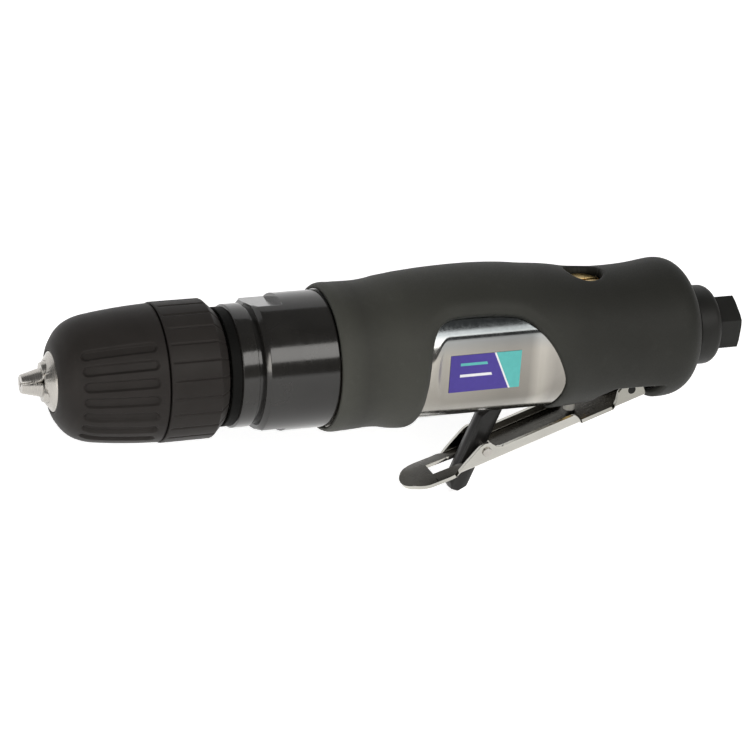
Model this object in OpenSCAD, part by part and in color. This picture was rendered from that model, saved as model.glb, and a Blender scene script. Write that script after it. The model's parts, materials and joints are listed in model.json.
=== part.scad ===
// Straight air drill with a keyless chuck, in mm.
// Origin at the mouth of the air inlet on the spindle axis, +X out of the inlet, +Z away from the lever.

/* [Chuck] */
// Radius of the rear collar
chuck_r = 21.6; // [20.5:0.1:23]
// Reach of the closed jaws beyond the nose
jaw_reach = 5.9; // [5:0.1:7]
// Length of the bare nose
nose_len = 3.3; // [2.5:0.1:4]
// Radius of the nose where it leaves the sleeve
nose_r = 9.2; // [8.8:0.1:9.6]
// Length of the front sleeve
sleeve_len = 31.4; // [30:0.1:33]
// Length of the rear collar
collar_len = 19.4; // [18:0.1:21]
// Length of the collar's rear chamfer
collar_chamfer = 3.3; // [2:0.1:4]
// Inner radius of sleeve and collar
shell_bore_r = 17.6; // [17.2:0.1:18]
// Seam between sleeve and collar
seam_gap = 0.4; // [0.3:0.05:0.8]
// Gap between collar and gear case
chuck_gap = 0.8; // [0.6:0.1:1.5]
// Radius of a jaw
jaw_r = 3.3; // [3:0.05:3.5]
// Slope of the jaws to the axis
jaw_slope = 15; // [14:0.5:16]
// Offset of a jaw's axis at the tip
jaw_tip_offset = 1.4; // [1.2:0.1:1.6]
// Length of a jaw
jaw_len = 30; // [27:0.5:31]
// Radius of the closed jaws at the tip
jaw_tip_r = 2.8; // [2.4:0.1:3.2]
// Radius of the closed jaws at the nose
jaw_root_r = 4.4; // [4:0.1:4.8]
// Radius of the closed jaws' grip
grip_bore_r = 0.75; // [0.6:0.05:1]
// Turn of the first jaw about the axis
jaw_first_turn = 5; // [0:1:10]
// Gap between closed jaws
jaw_gap = 0.3; // [0.2:0.05:0.4]
// Widest radius that the jaws take
open_bore_r = 5; // [4:0.1:5.2]
// Radius of the chuck body
chuck_body_r = 13.5; // [13:0.1:14]
// Radius of the chuck body's jaw guide
guide_r = 12.5; // [12.3:0.1:12.9]
// Radius of the nut's groove in the chuck body
nut_groove_r = 9; // [8.5:0.1:9.5]
// Distance from jaw tip to the nut's groove
nut_at = 27; // [26.5:0.1:27.5]
// Width of the nut's groove
nut_groove_w = 8.2; // [7:0.1:8.6]
// Radius of the bit's clearance hole
bit_bore_r = 5.2; // [5:0.1:5.4]
// Distance from jaw tip to the end of the bit's hole
bit_bore_to = 22; // [21:0.5:24]
// Distance from jaw tip to the floor behind the screw head
screw_floor_at = 37.5; // [37:0.1:38]
// Thickness of that floor
screw_floor = 5; // [4:0.1:6]
// Radius of the screw head
screw_head_r = 3.7; // [3.5:0.1:3.8]
// Height of the screw head
screw_head_h = 3; // [2.5:0.1:3.5]
// Radius of the screw
screw_r = 2.5; // [2:0.1:2.6]
// Length of the screw in the spindle
screw_grip = 8; // [6:0.5:10]
// Radius of the screw's drive recess
screw_recess_r = 2; // [1.6:0.1:2.2]
// Radius of a flute cutter
flute_r = 1.9; // [1.6:0.1:2.2]
// Depth of the flutes
flute_depth = 0.9; // [0.6:0.1:1.1]
// Length of the flutes
flute_len = 20; // [18:0.5:21]
// Distance from sleeve front to the flutes
flute_at = 6; // [5:0.5:7]
// Flutes in each of the two groups
flutes_in_group = 7; // [5:1:9]
// Positions around the sleeve
flute_positions = 24; // [20:1:28]
// Turn of the flutes' groups about the axis
flute_turn = 90; // [70:1:110]
// Width of the collar's fine grooves
tick_w = 0.5; // [0.4:0.05:0.8]
// Depth of the collar's fine grooves
tick_depth = 0.35; // [0.2:0.05:0.5]

/* [Gear case] */
// Radius of the small ring
small_ring_r = 19.2; // [18.5:0.1:19.8]
// Length of the small ring
small_ring_len = 10.2; // [9.5:0.1:11.5]
// Length of the small ring's dark front band
band_len = 3; // [2:0.1:3.5]
// Depth of that band
band_depth = 0.7; // [0.4:0.05:1]
// Radius of the large ring
large_ring_r = 21.5; // [21:0.1:22]
// Length of the large ring
large_ring_len = 23.6; // [23:0.1:25]
// Chamfer of the large ring
ring_chamfer = 1.3; // [0.8:0.1:1.8]
// Width of the groove between the rings
ring_groove_w = 1.8; // [1.2:0.1:2.4]
// Depth of the groove between the rings
ring_groove_depth = 0.9; // [0.5:0.1:1.2]
// Length of the wrench flats
flat_len = 9.2; // [8:0.1:11]
// Depth of the wrench flats
flat_depth = 2.2; // [1.8:0.1:2.2]
// Turn of the wrench flats about the axis
flat_turn = -13; // [-20:1:0]
// Wall at the front of the gear case
case_front_wall = 2.2; // [2:0.1:2.4]
// Radius of the motor bore
motor_bore_r = 17.6; // [17.4:0.05:17.7]
// Outer radius of the threaded skirt
skirt_r = 19.4; // [19.2:0.05:19.6]
// Length of the threaded skirt
skirt_len = 12; // [10:0.5:14]

/* [Gears] */
// Module of the teeth
tooth_module = 0.67; // [0.66:0.005:0.68]
// Teeth of the sun gear
sun_teeth = 15; // [15:1:15]
// Teeth of a planet gear
planet_teeth = 15; // [15:1:15]
// Number of planets
planet_count = 3; // [3:1:3]
// Pressure angle
pressure_angle = 25; // [25:1:25]
// Backlash on the pitch circle
backlash = 0.07; // [0.06:0.01:0.09]
// Width of the gears
gear_w = 9; // [8:0.1:9.2]
// Radius of the planet pins
planet_pin_r = 2; // [1.8:0.05:2.2]
// Thickness of the carrier
carrier_w = 4.6; // [4:0.1:5]
// Radius of the carrier
carrier_r = 13; // [12.6:0.1:13.4]
// Radius of the spindle's thread
spindle_thread_r = 4.76; // [4.6:0.02:4.8]
// Length of the spindle's thread
spindle_thread_len = 15.5; // [14:0.1:16]
// Radius of the spindle's shoulder
shoulder_r = 7.5; // [7:0.1:7.8]

/* [Bearings] */
// Bore radius of the front bearing
front_bearing_bore = 6; // [5.5:0.1:6.2]
// Outer radius of the front bearing
front_bearing_r = 14; // [13.6:0.1:14.4]
// Width of the front bearing
front_bearing_w = 8; // [7.6:0.1:8.2]
// Thickness of the circlip
circlip_w = 1.2; // [1:0.05:1.3]
// Depth of the circlip's groove
circlip_depth = 0.8; // [0.6:0.05:1]
// Radial width of the circlip
circlip_band = 2.4; // [2:0.1:2.8]
// Opening of the circlip
circlip_gap = 7; // [5:0.5:9]
// Bore radius of the rotor bearings
rotor_bearing_bore = 3; // [2.9:0.05:3.2]
// Outer radius of the rotor bearings
rotor_bearing_r = 9.5; // [9.2:0.1:9.8]
// Width of the rotor bearings
rotor_bearing_w = 6; // [5.6:0.1:6.2]
// Ball size as a share of the ring space
ball_share = 0.28; // [0.24:0.01:0.3]
// Balls in each bearing
ball_count = 8; // [7:1:9]

/* [Motor] */
// Thickness of the end plates
plate_w = 7.5; // [7.2:0.1:7.8]
// Length of the cylinder
cylinder_len = 38; // [36:0.5:39]
// Bore radius of the cylinder
cylinder_bore_r = 14.6; // [14.4:0.05:14.7]
// Offset of the cylinder bore
cylinder_offset = 1.4; // [1.2:0.05:1.4]
// Radius of the rotor
rotor_r = 12.9; // [12.6:0.05:12.9]
// Number of vanes
vane_count = 5; // [4:1:6]
// Thickness of a vane
vane_w = 1.6; // [1.4:0.1:1.8]
// Height of a vane
vane_h = 6; // [5:0.1:6.4]
// Spare depth under a vane
vane_spare = 0.7; // [0.4:0.1:1]
// Radius of the sun gear's seat
sun_seat_r = 2.5; // [2.3:0.05:2.6]
// Radius of the dowel
dowel_r = 1; // [0.8:0.05:1.1]
// Distance of the dowel from the axis
dowel_at = 15.4; // [15.2:0.05:15.6]
// Length of the dowel in each plate
dowel_reach = 4; // [3:0.1:5]
// Radius of a cylinder port
port_r = 1.5; // [1.2:0.1:1.8]
// Ports along the cylinder
port_count = 5; // [3:1:5]
// Distance between the ports
port_pitch = 5; // [4.5:0.1:5.5]
// Radius of the supply hole
supply_r = 2; // [1.8:0.1:2]
// Height of the supply hole
supply_z = 13.4; // [13.2:0.1:13.5]

/* [Housing] */
// Radius of the housing
housing_r = 21.8; // [21.5:0.1:22]
// Radius of the housing's tail
tail_r = 19.5; // [19:0.1:20]
// Radius of the tail's end inside the grip
neck_r = 12.7; // [12.6:0.05:12.8]
// Radius of the rim at the back
rim_r = 13.6; // [13.4:0.1:13.8]
// Length of the bare rim
rim_len = 0.6; // [0.4:0.1:1]
// Length of the taper from housing to tail
taper_len = 8; // [6:0.5:10]
// Distance from the back to the taper
taper_at = 41; // [40:0.5:42]
// Length of the cone behind the tail
tail_cone_len = 9; // [8:0.5:10]
// Half width between the side pads
pad_y = 19; // [18.9:0.05:19.4]
// Length of the side pads
pad_len = 33; // [30:0.5:34]
// Distance from the grip's front to the side pads
pad_at = 35; // [34:0.5:36]
// Length of the pads' front ramp
pad_front_ramp = 5; // [4:0.5:6]
// Length of the pads' rear ramp
pad_back_ramp = 7.5; // [6:0.5:8]
// Height of the flat underside below the axis
underside_z = 19.3; // [19:0.1:19.6]
// Radius of an exhaust hole
exhaust_r = 1.7; // [1.4:0.1:1.8]
// Distance of the exhaust holes from the axis
exhaust_y = 10.4; // [10.3:0.1:10.5]
// Label's length
label_len = 24; // [20:0.5:25]
// Label's height
label_h = 12.4; // [10:0.2:14]
// Distance of the label ahead of the pad's middle
label_shift = 2.6; // [2:0.1:3]
// Distance of the label's middle below the axis
label_drop = 1.2; // [0.5:0.1:1.5]
// Label's thickness
label_w = 0.2; // [0.15:0.05:0.3]

/* [Grip] */
// Length of the grip
grip_len = 127.1; // [126:0.1:128]
// Radius of the grip at its fullest
grip_r = 26.4; // [26:0.1:27]
// Top of the cut-out above the axis
window_top = 18.7; // [18:0.1:19]
// Length of the cut-out
window_len = 48.5; // [47:0.5:50]
// Distance from the grip's front to the cut-out
window_at = 28.4; // [28:0.1:29]
// Radius of the recess round the valve plug
recess_r = 6.4; // [6.2:0.1:7]
// Facets round the grip
grip_facets = 48; // [40:4:56]

/* [Throttle] */
// Distance of the valve from the inlet's mouth
valve_at = 56; // [55.5:0.1:56.5]
// Radius of the valve bush
bush_r = 5.5; // [5.3:0.05:5.6]
// Bore radius of the valve bush
bush_bore_r = 3.6; // [3.5:0.05:3.8]
// Height of the bush's lower end below the axis
bush_low_z = 18.8; // [18.4:0.1:19.2]
// Length of the bush's lower guide
guide_len = 5.6; // [5:0.1:6]
// Length of the valve plug
plug_len = 4; // [3.6:0.1:4.4]
// Height of the plug's top
plug_top_z = 19.4; // [19:0.1:20]
// Width of the plug's slot
plug_slot_w = 1.6; // [1.2:0.1:2]
// Depth of the plug's slot
plug_slot_depth = 1.3; // [1:0.1:1.6]
// Radius of the plunger's stem
stem_r = 1.9; // [1.7:0.05:2]
// Length of the plunger's head
plunger_head_len = 15; // [14:0.1:15.5]
// Gap between plunger and lever
plunger_gap = 0.3; // [0.2:0.05:0.5]
// Section radius of the O-rings
oring_w = 0.6; // [0.5:0.05:0.65]
// Wire radius of the springs
wire_r = 0.4; // [0.35:0.05:0.45]
// Turns of the valve spring
valve_turns = 6; // [5:1:7]

/* [Lever] */
// Distance of the lever's pivot from the inlet's mouth
pivot_at = 37.7; // [37.5:0.1:38]
// Depth of the lever's pivot below the axis
pivot_z = 17.8; // [17.6:0.1:18]
// Slope of the lever at rest
lever_slope = 18.8; // [18.6:0.1:19]
// Width of the lever
lever_w = 16; // [15.6:0.1:16.4]
// Thickness of the lever's sheet
sheet = 1.3; // [1.2:0.05:1.4]
// Depth of the lever's floor below the pivot
floor_depth = 4.2; // [4.1:0.05:4.3]
// Length from pivot to the latch pin
latch_at = 53; // [52.5:0.1:53.5]
// Length from pivot to the bend
bend_at = 57; // [56.5:0.1:57.5]
// Length from pivot to the tip
lever_len = 81.2; // [80.5:0.1:82]
// Bend of the lever's front
lever_bend = 2; // [1.5:0.1:3]
// Height of the side flanges
flange_h = 3.9; // [3.6:0.1:4.2]
// Radius of the pivot ears
pivot_ear_r = 3.2; // [3:0.1:3.4]
// Radius of the latch ears
latch_ear_r = 3; // [2.8:0.1:3.2]
// Length of the lever's tail behind the pivot
lever_tail = 4.3; // [4:0.1:4.4]
// Start of the bare stretch from the pivot
bare_from = 7.8; // [7.4:0.1:8]
// End of the bare stretch from the pivot
bare_to = 19.5; // [19:0.1:21]
// Distance of the ears' notch from the inlet's mouth
notch_at = 31.4; // [31.2:0.1:31.6]
// Length of the ears' notch
notch_len = 17.6; // [17:0.1:18]
// Length of the notch's front ramp
notch_ramp = 15; // [13:0.5:16]
// Top of the ears' notch below the axis
notch_z = 12.7; // [12.5:0.1:13]
// Radius of the lever's pin
lever_pin_r = 1.5; // [1.3:0.05:1.6]
// Half width of the housing's lug
lug_half = 6.1; // [5.8:0.1:6.2]
// Radius of the lug's end
lug_r = 2.5; // [2.4:0.05:2.6]
// Start of the latch slot from the pivot
slot_from = 48.5; // [48:0.1:49]
// End of the latch slot from the pivot
slot_to = 71.2; // [71:0.1:72.5]

/* [Latch] */
// Thickness of the latch
latch_w = 5.4; // [5:0.1:5.6]
// Lean of the latch at rest
latch_lean = 21.5; // [21:0.1:22]
// Reach of the latch above its pin
latch_up = 15.5; // [15:0.1:15.8]
// Reach of the latch below its pin
latch_down = 17.2; // [16.5:0.1:17.4]
// Width of the latch in front of its pin
latch_front = 4.8; // [4.6:0.1:5]
// Width of the latch behind its pin
latch_back = 1.8; // [1.5:0.1:1.9]
// Radius of the latch's boss
latch_boss_r = 2.6; // [2.4:0.1:2.8]
// Radius of the latch pin
latch_pin_r = 1.25; // [1.1:0.05:1.3]
// Radius of the latch pin's heads
latch_head_r = 1.6; // [1.45:0.05:1.7]
// Thickness of the latch pin's heads
latch_head_w = 0.6; // [0.4:0.1:0.8]
// Turns of the latch spring
latch_turns = 2; // [1:1:2]

/* [Inlet] */
// Length of the hexagon
hex_len = 8.6; // [8:0.1:9.2]
// Width across the hexagon's flats
hex_w = 17; // [16.6:0.1:17.2]
// Turn of the hexagon about the axis
hex_turn = -24; // [-30:1:30]
// Chamfer of the hexagon
hex_chamfer = 1.1; // [0.8:0.1:1.3]
// Wall radius of the G1/4 inlet thread
inlet_bore_r = 5.72; // [5.6:0.02:5.9]
// Depth of the inlet thread
inlet_depth = 14; // [13:0.5:15]
// Radius of the inlet's inner passage
passage_r = 4.4; // [4:0.1:4.6]
// Radius of the inlet's shank
shank_r = 7.4; // [7.2:0.05:7.5]
// Length of the inlet's shank
shank_len = 26; // [24:0.5:27]
// Length of the exhaust deflector
deflector_len = 8.8; // [8.2:0.1:9.4]
// Radius of the exhaust deflector
deflector_r = 13.1; // [12.8:0.1:13.3]
// Rounding of the exhaust deflector
deflector_round = 2.6; // [2:0.1:3]
// Wall of the exhaust deflector
deflector_wall = 1.7; // [1.5:0.1:2]
// Radius of an outlet hole
outlet_r = 0.7; // [0.5:0.05:0.75]
// Number of outlet holes
outlet_count = 12; // [8:1:14]
// Thickness of the inlet's sealing ring
seal_w = 1.2; // [1:0.1:1.4]
// Thickness of the strainer
strainer_w = 0.8; // [0.6:0.05:1]
// Radius of the strainer
strainer_r = 5.3; // [5:0.05:5.4]
// Radius of a strainer hole
strainer_hole_r = 0.7; // [0.5:0.05:0.8]
// Distance between the strainer's rows of holes
strainer_pitch = 1.8; // [1.7:0.05:1.9]

/* [Fits] */
// Radial gap of fixed fits
press_gap = 0.03; // [0.02:0.01:0.05]
// Radial gap of running fits
run_gap = 0.1; // [0.08:0.01:0.12]
// Gap between parts that move past each other
free_gap = 0.3; // [0.25:0.05:0.4]
// Overrun of cuts
overrun = 5; // [3:0.5:8]

/* [Hidden] */
$fn = 96;
// Depth of the screw's recess, share of the head's height
recess_share = 0.6;
// Start of the sleeve's full bore, share of that bore's radius
sleeve_bore_share = 0.75;
// Addendum, share of the module
addendum_share = 0.8;
// Rear ring of the cut-out where the lever's room starts, share of the cut-out's length
lever_room_share = 0.9;
// Bend of the notch's front ramp, shares of its length and of its rise
ramp_share = 0.3;
ramp_rise_share = 0.45;
// Heights of the O-rings, shares of the plunger's head
oring_shares = [0.2, 0.8];
// Wire of the latch spring, share of the valve spring's
latch_wire_share = 0.8;
// Lever's ears, shares of the ear's radius along and up
ear_shares = [0.9, 0.75, 1.8, 0.8, 0.45];
// Front of the latch's ears, share of the ear's radius from the pin
ear_reach_share = 4.05;
// Front of the pivot's ears, share of their radius
pivot_ear_share = 1.45;
// Latch outline, shares of its reach and of its width
latch_shares = [0.95, 0.2, 0.6, 0.88, 0.72, 0.1, 0.85];
// Sleeve outline, shares of its length and of the collar's radius
sleeve_shares = [
    [0, 0.465], [0.016, 0.535], [0.045, 0.614], [0.092, 0.71], [0.156, 0.794], [0.236, 0.854],
    [0.315, 0.889], [0.411, 0.912], [0.538, 0.935], [0.666, 0.954], [0.825, 0.972], [1, 0.985]];
// Grip outline, shares of its length, then of its radius at the top and at the bottom
grip_shares = [
    [0, 0.864, 0.864], [0.008, 0.886, 0.88], [0.04, 0.89, 0.882], [0.075, 0.888, 0.876],
    [0.105, 0.889, 0.868], [0.135, 0.904, 0.876], [0.16, 0.926, 0.9], [0.185, 0.94, 0.915],
    [0.21, 0.955, 0.918], [0.24, 0.968, 0.9], [0.28, 0.983, 0.88], [0.33, 0.994, 0.87],
    [0.39, 1, 0.865], [0.45, 0.993, 0.86], [0.5, 0.976, 0.86], [0.545, 0.95, 0.857],
    [0.59, 0.93, 0.855], [0.63, 0.905, 0.85], [0.67, 0.87, 0.842], [0.715, 0.849, 0.833],
    [0.76, 0.836, 0.826], [0.805, 0.838, 0.826], [0.85, 0.85, 0.83], [0.88, 0.866, 0.838],
    [0.905, 0.882, 0.845], [0.925, 0.89, 0.842], [0.945, 0.878, 0.826], [0.962, 0.842, 0.79],
    [0.977, 0.775, 0.73], [0.989, 0.675, 0.64], [1, 0.5, 0.5]];
// Cut-out outline, shares of its length and of its top
window_shares = [
    [0, -1.8], [0, -0.68], [0.01, 0.12], [0.035, 0.6], [0.08, 0.82], [0.14, 0.94], [0.22, 0.99],
    [0.42, 1], [0.62, 0.955], [0.715, 0.85], [0.8, 0.63], [0.885, 0.32], [0.96, -0.1],
    [1, -0.42], [0.99, -0.77], [0.97, -1], [0.97, -1.8]];
hex_x = -hex_len;
deflector_x = hex_x - deflector_len;
grip_back_x = deflector_x - rim_len;
grip_front_x = grip_back_x - grip_len;
step_x = grip_front_x - large_ring_len;
case_x = step_x - small_ring_len;
collar_back_x = case_x - chuck_gap;
seam_x = collar_back_x - collar_len;
sleeve_x = seam_x - sleeve_len;
nose_x = sleeve_x - nose_len;
tip_x = nose_x - jaw_reach;
jaw_travel = (open_bore_r - grip_bore_r) / sin(jaw_slope);
jaw_reach_back = (jaw_len + jaw_travel) * cos(jaw_slope) + jaw_r * sin(jaw_slope);
nut_x = tip_x + nut_at;
nut_w = nut_groove_w - 2 * free_gap;
front_bearing_x = case_x + case_front_wall;
circlip_x = front_bearing_x + front_bearing_w + press_gap;
carrier_x = circlip_x + circlip_w + 2 * free_gap;
gear_x = carrier_x + carrier_w + free_gap;
plate_x = gear_x + gear_w + 2 * free_gap;
cylinder_x = plate_x + plate_w;
back_plate_x = cylinder_x + cylinder_len;
motor_back_x = back_plate_x + plate_w + press_gap;
bearing_1_x = plate_x;
bearing_2_x = back_plate_x + plate_w - rotor_bearing_w;
skirt_x = grip_front_x + skirt_len;
ring_teeth = sun_teeth + 2 * planet_teeth;
centre_distance = tooth_module * (sun_teeth + planet_teeth) / 2;
addendum = addendum_share * tooth_module;
dedendum = tooth_module;
taper_x = grip_back_x - taper_at;
pad_x = grip_front_x + pad_at;
label_x = pad_x + pad_len / 2 - label_len / 2 - label_shift;
window_x = grip_front_x + window_at;
valve_x = -valve_at;
plug_z = plug_top_z - plug_len;
shank_x = hex_x - shank_len;
tip_rise = (lever_len - bend_at) * tan(lever_bend);
ear_reach = latch_at + ear_reach_share * latch_ear_r;
floor_low_z = -pivot_z - (valve_at - pivot_at) * tan(lever_slope)
    - (floor_depth - sheet) / cos(lever_slope);
stem_z = floor_low_z + stem_r * tan(lever_slope) + plunger_gap;
head_z = guide_len - bush_low_z + free_gap;
spring_z = head_z + plunger_head_len + run_gap;
spring_h = plug_z - spring_z - run_gap;
oring_heights = [for (h = oring_shares) head_z + plunger_head_len * h];
oring_at_r = bush_bore_r - oring_w - run_gap / 2;
latch_coil_w = lever_w / 2 - sheet - latch_w / 2 - 4 * free_gap;
wide = 2 * grip_r;

function involute_at(ratio) = tan(acos(ratio)) * 180 / PI - acos(ratio);
function half_tooth(teeth, r, thick) =
    let (pitch_r = tooth_module * teeth / 2, base_r = pitch_r * cos(pressure_angle))
    90 / teeth + thick / pitch_r * 90 / PI + involute_at(cos(pressure_angle))
        - involute_at(base_r / max(r, base_r));
function tooth_radii(teeth, low, high) =
    let (pitch_r = tooth_module * teeth / 2)
    [for (i = [0 : 4]) pitch_r - low + (low + high) * i / 4];
function gear_points(teeth, low, high, thick) =
    let (radii = tooth_radii(teeth, low, high))
    [for (k = [0 : teeth - 1]) each concat(
        [for (i = [0 : 4])
            let (a = 360 * k / teeth - half_tooth(teeth, radii[i], thick)) radii[i] * [cos(a), sin(a)]],
        [for (i = [4 : -1 : 0])
            let (a = 360 * k / teeth + half_tooth(teeth, radii[i], thick)) radii[i] * [cos(a), sin(a)]])];
function planet_phase(a) = a * (1 + sun_teeth / planet_teeth) + 180 + 180 / planet_teeth;
function ring_phase(a) = a - planet_teeth / ring_teeth * (a - planet_phase(a));
function planet_angle(k) = 90 + 360 * k / planet_count;
function lever_point(u, n) = [
    -pivot_at - u * cos(lever_slope) - n * sin(lever_slope),
    -pivot_z - u * sin(lever_slope) + n * cos(lever_slope)];
function latch_pin_point() = lever_point(latch_at, 0);
function latch_point(up, back) = latch_pin_point() + [
    up * sin(latch_lean) + back * cos(latch_lean), up * cos(latch_lean) - back * sin(latch_lean)];
function jaw_turn(k) = 120 * k + jaw_first_turn;
function nut_bore_r(x) =
    jaw_tip_offset + (x - tip_x) * tan(jaw_slope) + jaw_r / cos(jaw_slope) + free_gap;
function unit(v) = v / norm(v);
// Points of a wire of round section along a path, the coil's axis being one that no step runs along
function wire_points(path, r, coil_axis) = [
    for (i = [0 : len(path) - 1])
        let (t = unit(path[min(i + 1, len(path) - 1)] - path[max(i - 1, 0)]),
            a = unit(cross(t, coil_axis)), b = cross(a, t))
        for (k = [0 : 5]) path[i] + r * (cos(60 * k) * a + sin(60 * k) * b)];
function wire_faces(count) = concat(
    [[for (k = [0 : 5]) k]],
    [for (i = [0 : count - 2], k = [0 : 5]) [6 * i + k, 6 * (i + 1) + k, 6 * (i + 1) + (k + 1) % 6]],
    [for (i = [0 : count - 2], k = [0 : 5]) [6 * i + k, 6 * (i + 1) + (k + 1) % 6, 6 * i + (k + 1) % 6]],
    [[for (k = [5 : -1 : 0]) 6 * (count - 1) + k]]);
function coil_path(turns, r, height) = [
    for (i = [0 : 8 * turns]) [r * cos(45 * i), r * sin(45 * i), height * i / (8 * turns)]];
function least_gap(path, r) = min([
    for (i = [0 : len(path) - 1], j = [i + 6 : 1 : len(path) - 1]) norm(path[i] - path[j])]) - 2 * r;
valve_coil = coil_path(valve_turns, bush_bore_r - 3 * wire_r, spring_h - 2 * wire_r);
latch_coil = coil_path(latch_turns, latch_pin_r + 2 * free_gap, latch_coil_w);
latch_wire_r = wire_r * latch_wire_share;
echo(valve_spring_gap = least_gap(valve_coil, wire_r));
echo(latch_spring_gap = least_gap(latch_coil, latch_wire_r));

module along(x) translate([x, 0, 0]) rotate([0, 90, 0]) children();
module rod(x, len, r) along(x) cylinder(h = len, r = r);
module turned(points) rotate([0, 90, 0]) rotate_extrude() polygon(points);
module block(low, high) translate(low) cube(high - low);
module side_plate(points, y_low, y_high)
    translate([0, y_high, 0]) rotate([90, 0, 0]) linear_extrude(height = y_high - y_low) polygon(points);
module cross_rod(point, y_low, y_high, r)
    translate([point[0], y_high, point[1]]) rotate([90, 0, 0]) cylinder(h = y_high - y_low, r = r);
module upright(x, z, h, r) translate([x, 0, z]) cylinder(h = h, r = r);
module round_about(count) for (k = [0 : count - 1]) rotate([360 * k / count, 0, 0]) children();
module ball_race(x, w, pitch_r, r) along(x + w / 2) rotate_extrude() translate([pitch_r, 0]) circle(r = r);

module outer_race(x, w, bore, r) {
    pitch_r = (bore + r) / 2;
    ball_r = ball_share * (r - bore);
    difference() {
        rod(x, w, r - press_gap);
        rod(x - overrun, w + 2 * overrun, pitch_r + ball_r / 2);
        ball_race(x, w, pitch_r, ball_r + run_gap);
    }
}
module inner_race(x, w, bore, r) {
    pitch_r = (bore + r) / 2;
    ball_r = ball_share * (r - bore);
    difference() {
        rod(x, w, pitch_r - ball_r / 2);
        rod(x - overrun, w + 2 * overrun, bore + press_gap);
        ball_race(x, w, pitch_r, ball_r + run_gap);
    }
}
module race_balls(x, w, bore, r)
    round_about(ball_count) translate([x + w / 2, 0, (bore + r) / 2]) sphere(r = ball_share * (r - bore));

module front_bearing_outer() color("silver")
    outer_race(front_bearing_x, front_bearing_w, front_bearing_bore, front_bearing_r);
module front_bearing_inner() color("silver")
    inner_race(front_bearing_x, front_bearing_w, front_bearing_bore, front_bearing_r);
module front_bearing_balls() color("gainsboro")
    race_balls(front_bearing_x, front_bearing_w, front_bearing_bore, front_bearing_r);
module rotor_bearing_outer(x) color("silver")
    outer_race(x, rotor_bearing_w, rotor_bearing_bore, rotor_bearing_r);
module rotor_bearing_inner(x) color("silver")
    inner_race(x, rotor_bearing_w, rotor_bearing_bore, rotor_bearing_r);
module rotor_bearing_balls(x) color("gainsboro")
    race_balls(x, rotor_bearing_w, rotor_bearing_bore, rotor_bearing_r);

module jaw_line(from, len, r)
    translate([tip_x, 0, jaw_tip_offset]) rotate([0, 90 - jaw_slope, 0]) translate([0, 0, from])
        cylinder(h = len, r = r);
module chuck_jaw(k) color("silver") rotate([jaw_turn(k), 0, 0]) difference() {
    intersection() {
        jaw_line(-overrun, jaw_len + overrun, jaw_r);
        turned([
            [0, tip_x], [jaw_tip_r, tip_x], [jaw_root_r, nose_x], [chuck_r, nose_x],
            [chuck_r, collar_back_x], [0, collar_back_x]]);
        along(tip_x - overrun) linear_extrude(height = sleeve_len + collar_len) polygon([
            [-jaw_gap / sqrt(3), 0], [-chuck_r / 2, chuck_r * cos(30) - jaw_gap / 2],
            [-chuck_r, chuck_r * cos(30)], [-chuck_r, -chuck_r * cos(30)],
            [-chuck_r / 2, jaw_gap / 2 - chuck_r * cos(30)]]);
    }
    rod(tip_x - overrun, jaw_len + overrun, grip_bore_r);
}
module chuck_body() color("gray") difference() {
    turned([
        [0, nose_x], [jaw_root_r + jaw_gap, nose_x], [nose_r, sleeve_x], [nose_r, sleeve_x + nose_len / 2],
        [guide_r, sleeve_x + guide_r / 2], [guide_r, nut_x], [nut_groove_r, nut_x],
        [nut_groove_r, nut_x + nut_groove_w], [chuck_body_r, nut_x + nut_groove_w],
        [chuck_body_r, collar_back_x], [0, collar_back_x]]);
    for (k = [0 : 2]) rotate([jaw_turn(k), 0, 0])
        jaw_line(-overrun, (jaw_reach_back + jaw_r) / cos(jaw_slope) + overrun, jaw_r + run_gap);
    rod(nose_x - overrun, tip_x + bit_bore_to - nose_x + overrun, bit_bore_r);
    rod(nose_x, tip_x + screw_floor_at - nose_x, screw_head_r + free_gap);
    rod(nose_x, collar_back_x - nose_x, screw_r + run_gap);
    rod(tip_x + screw_floor_at + screw_floor, collar_back_x - tip_x, spindle_thread_r + press_gap);
}
module chuck_sleeve() color([0.16, 0.15, 0.14]) difference() {
    turned(concat(
        [for (p = sleeve_shares) [p[1] * chuck_r, sleeve_x + p[0] * sleeve_len]],
        [[shell_bore_r, seam_x], [shell_bore_r, sleeve_x + shell_bore_r * sleeve_bore_share],
            [guide_r + 2 * free_gap, sleeve_x + guide_r / 2 - free_gap],
            [nose_r + free_gap, sleeve_x + nose_len / 2 - free_gap], [nose_r + free_gap, sleeve_x]]));
    for (side = [0, 180], k = [0 : flutes_in_group - 1])
        rotate([side + (k - (flutes_in_group - 1) / 2) * 360 / flute_positions + flute_turn, 0, 0])
            translate([0, 0, chuck_r + flute_r - 2 * flute_depth]) {
                rod(sleeve_x + flute_at, flute_len, flute_r);
                along(sleeve_x + flute_at + flute_len) cylinder(h = flute_r, r1 = flute_r, r2 = flute_r / 4);
            }
}
module chuck_nut() color("silver") difference() {
    rod(nut_x + free_gap, nut_w, shell_bore_r - press_gap);
    turned([
        [0, nut_x], [nut_bore_r(nut_x), nut_x], [nut_bore_r(nut_x + nut_groove_w), nut_x + nut_groove_w],
        [0, nut_x + nut_groove_w]]);
    block([nut_x, -wide, -free_gap], [nut_x + nut_groove_w, wide, free_gap]);
}
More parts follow.
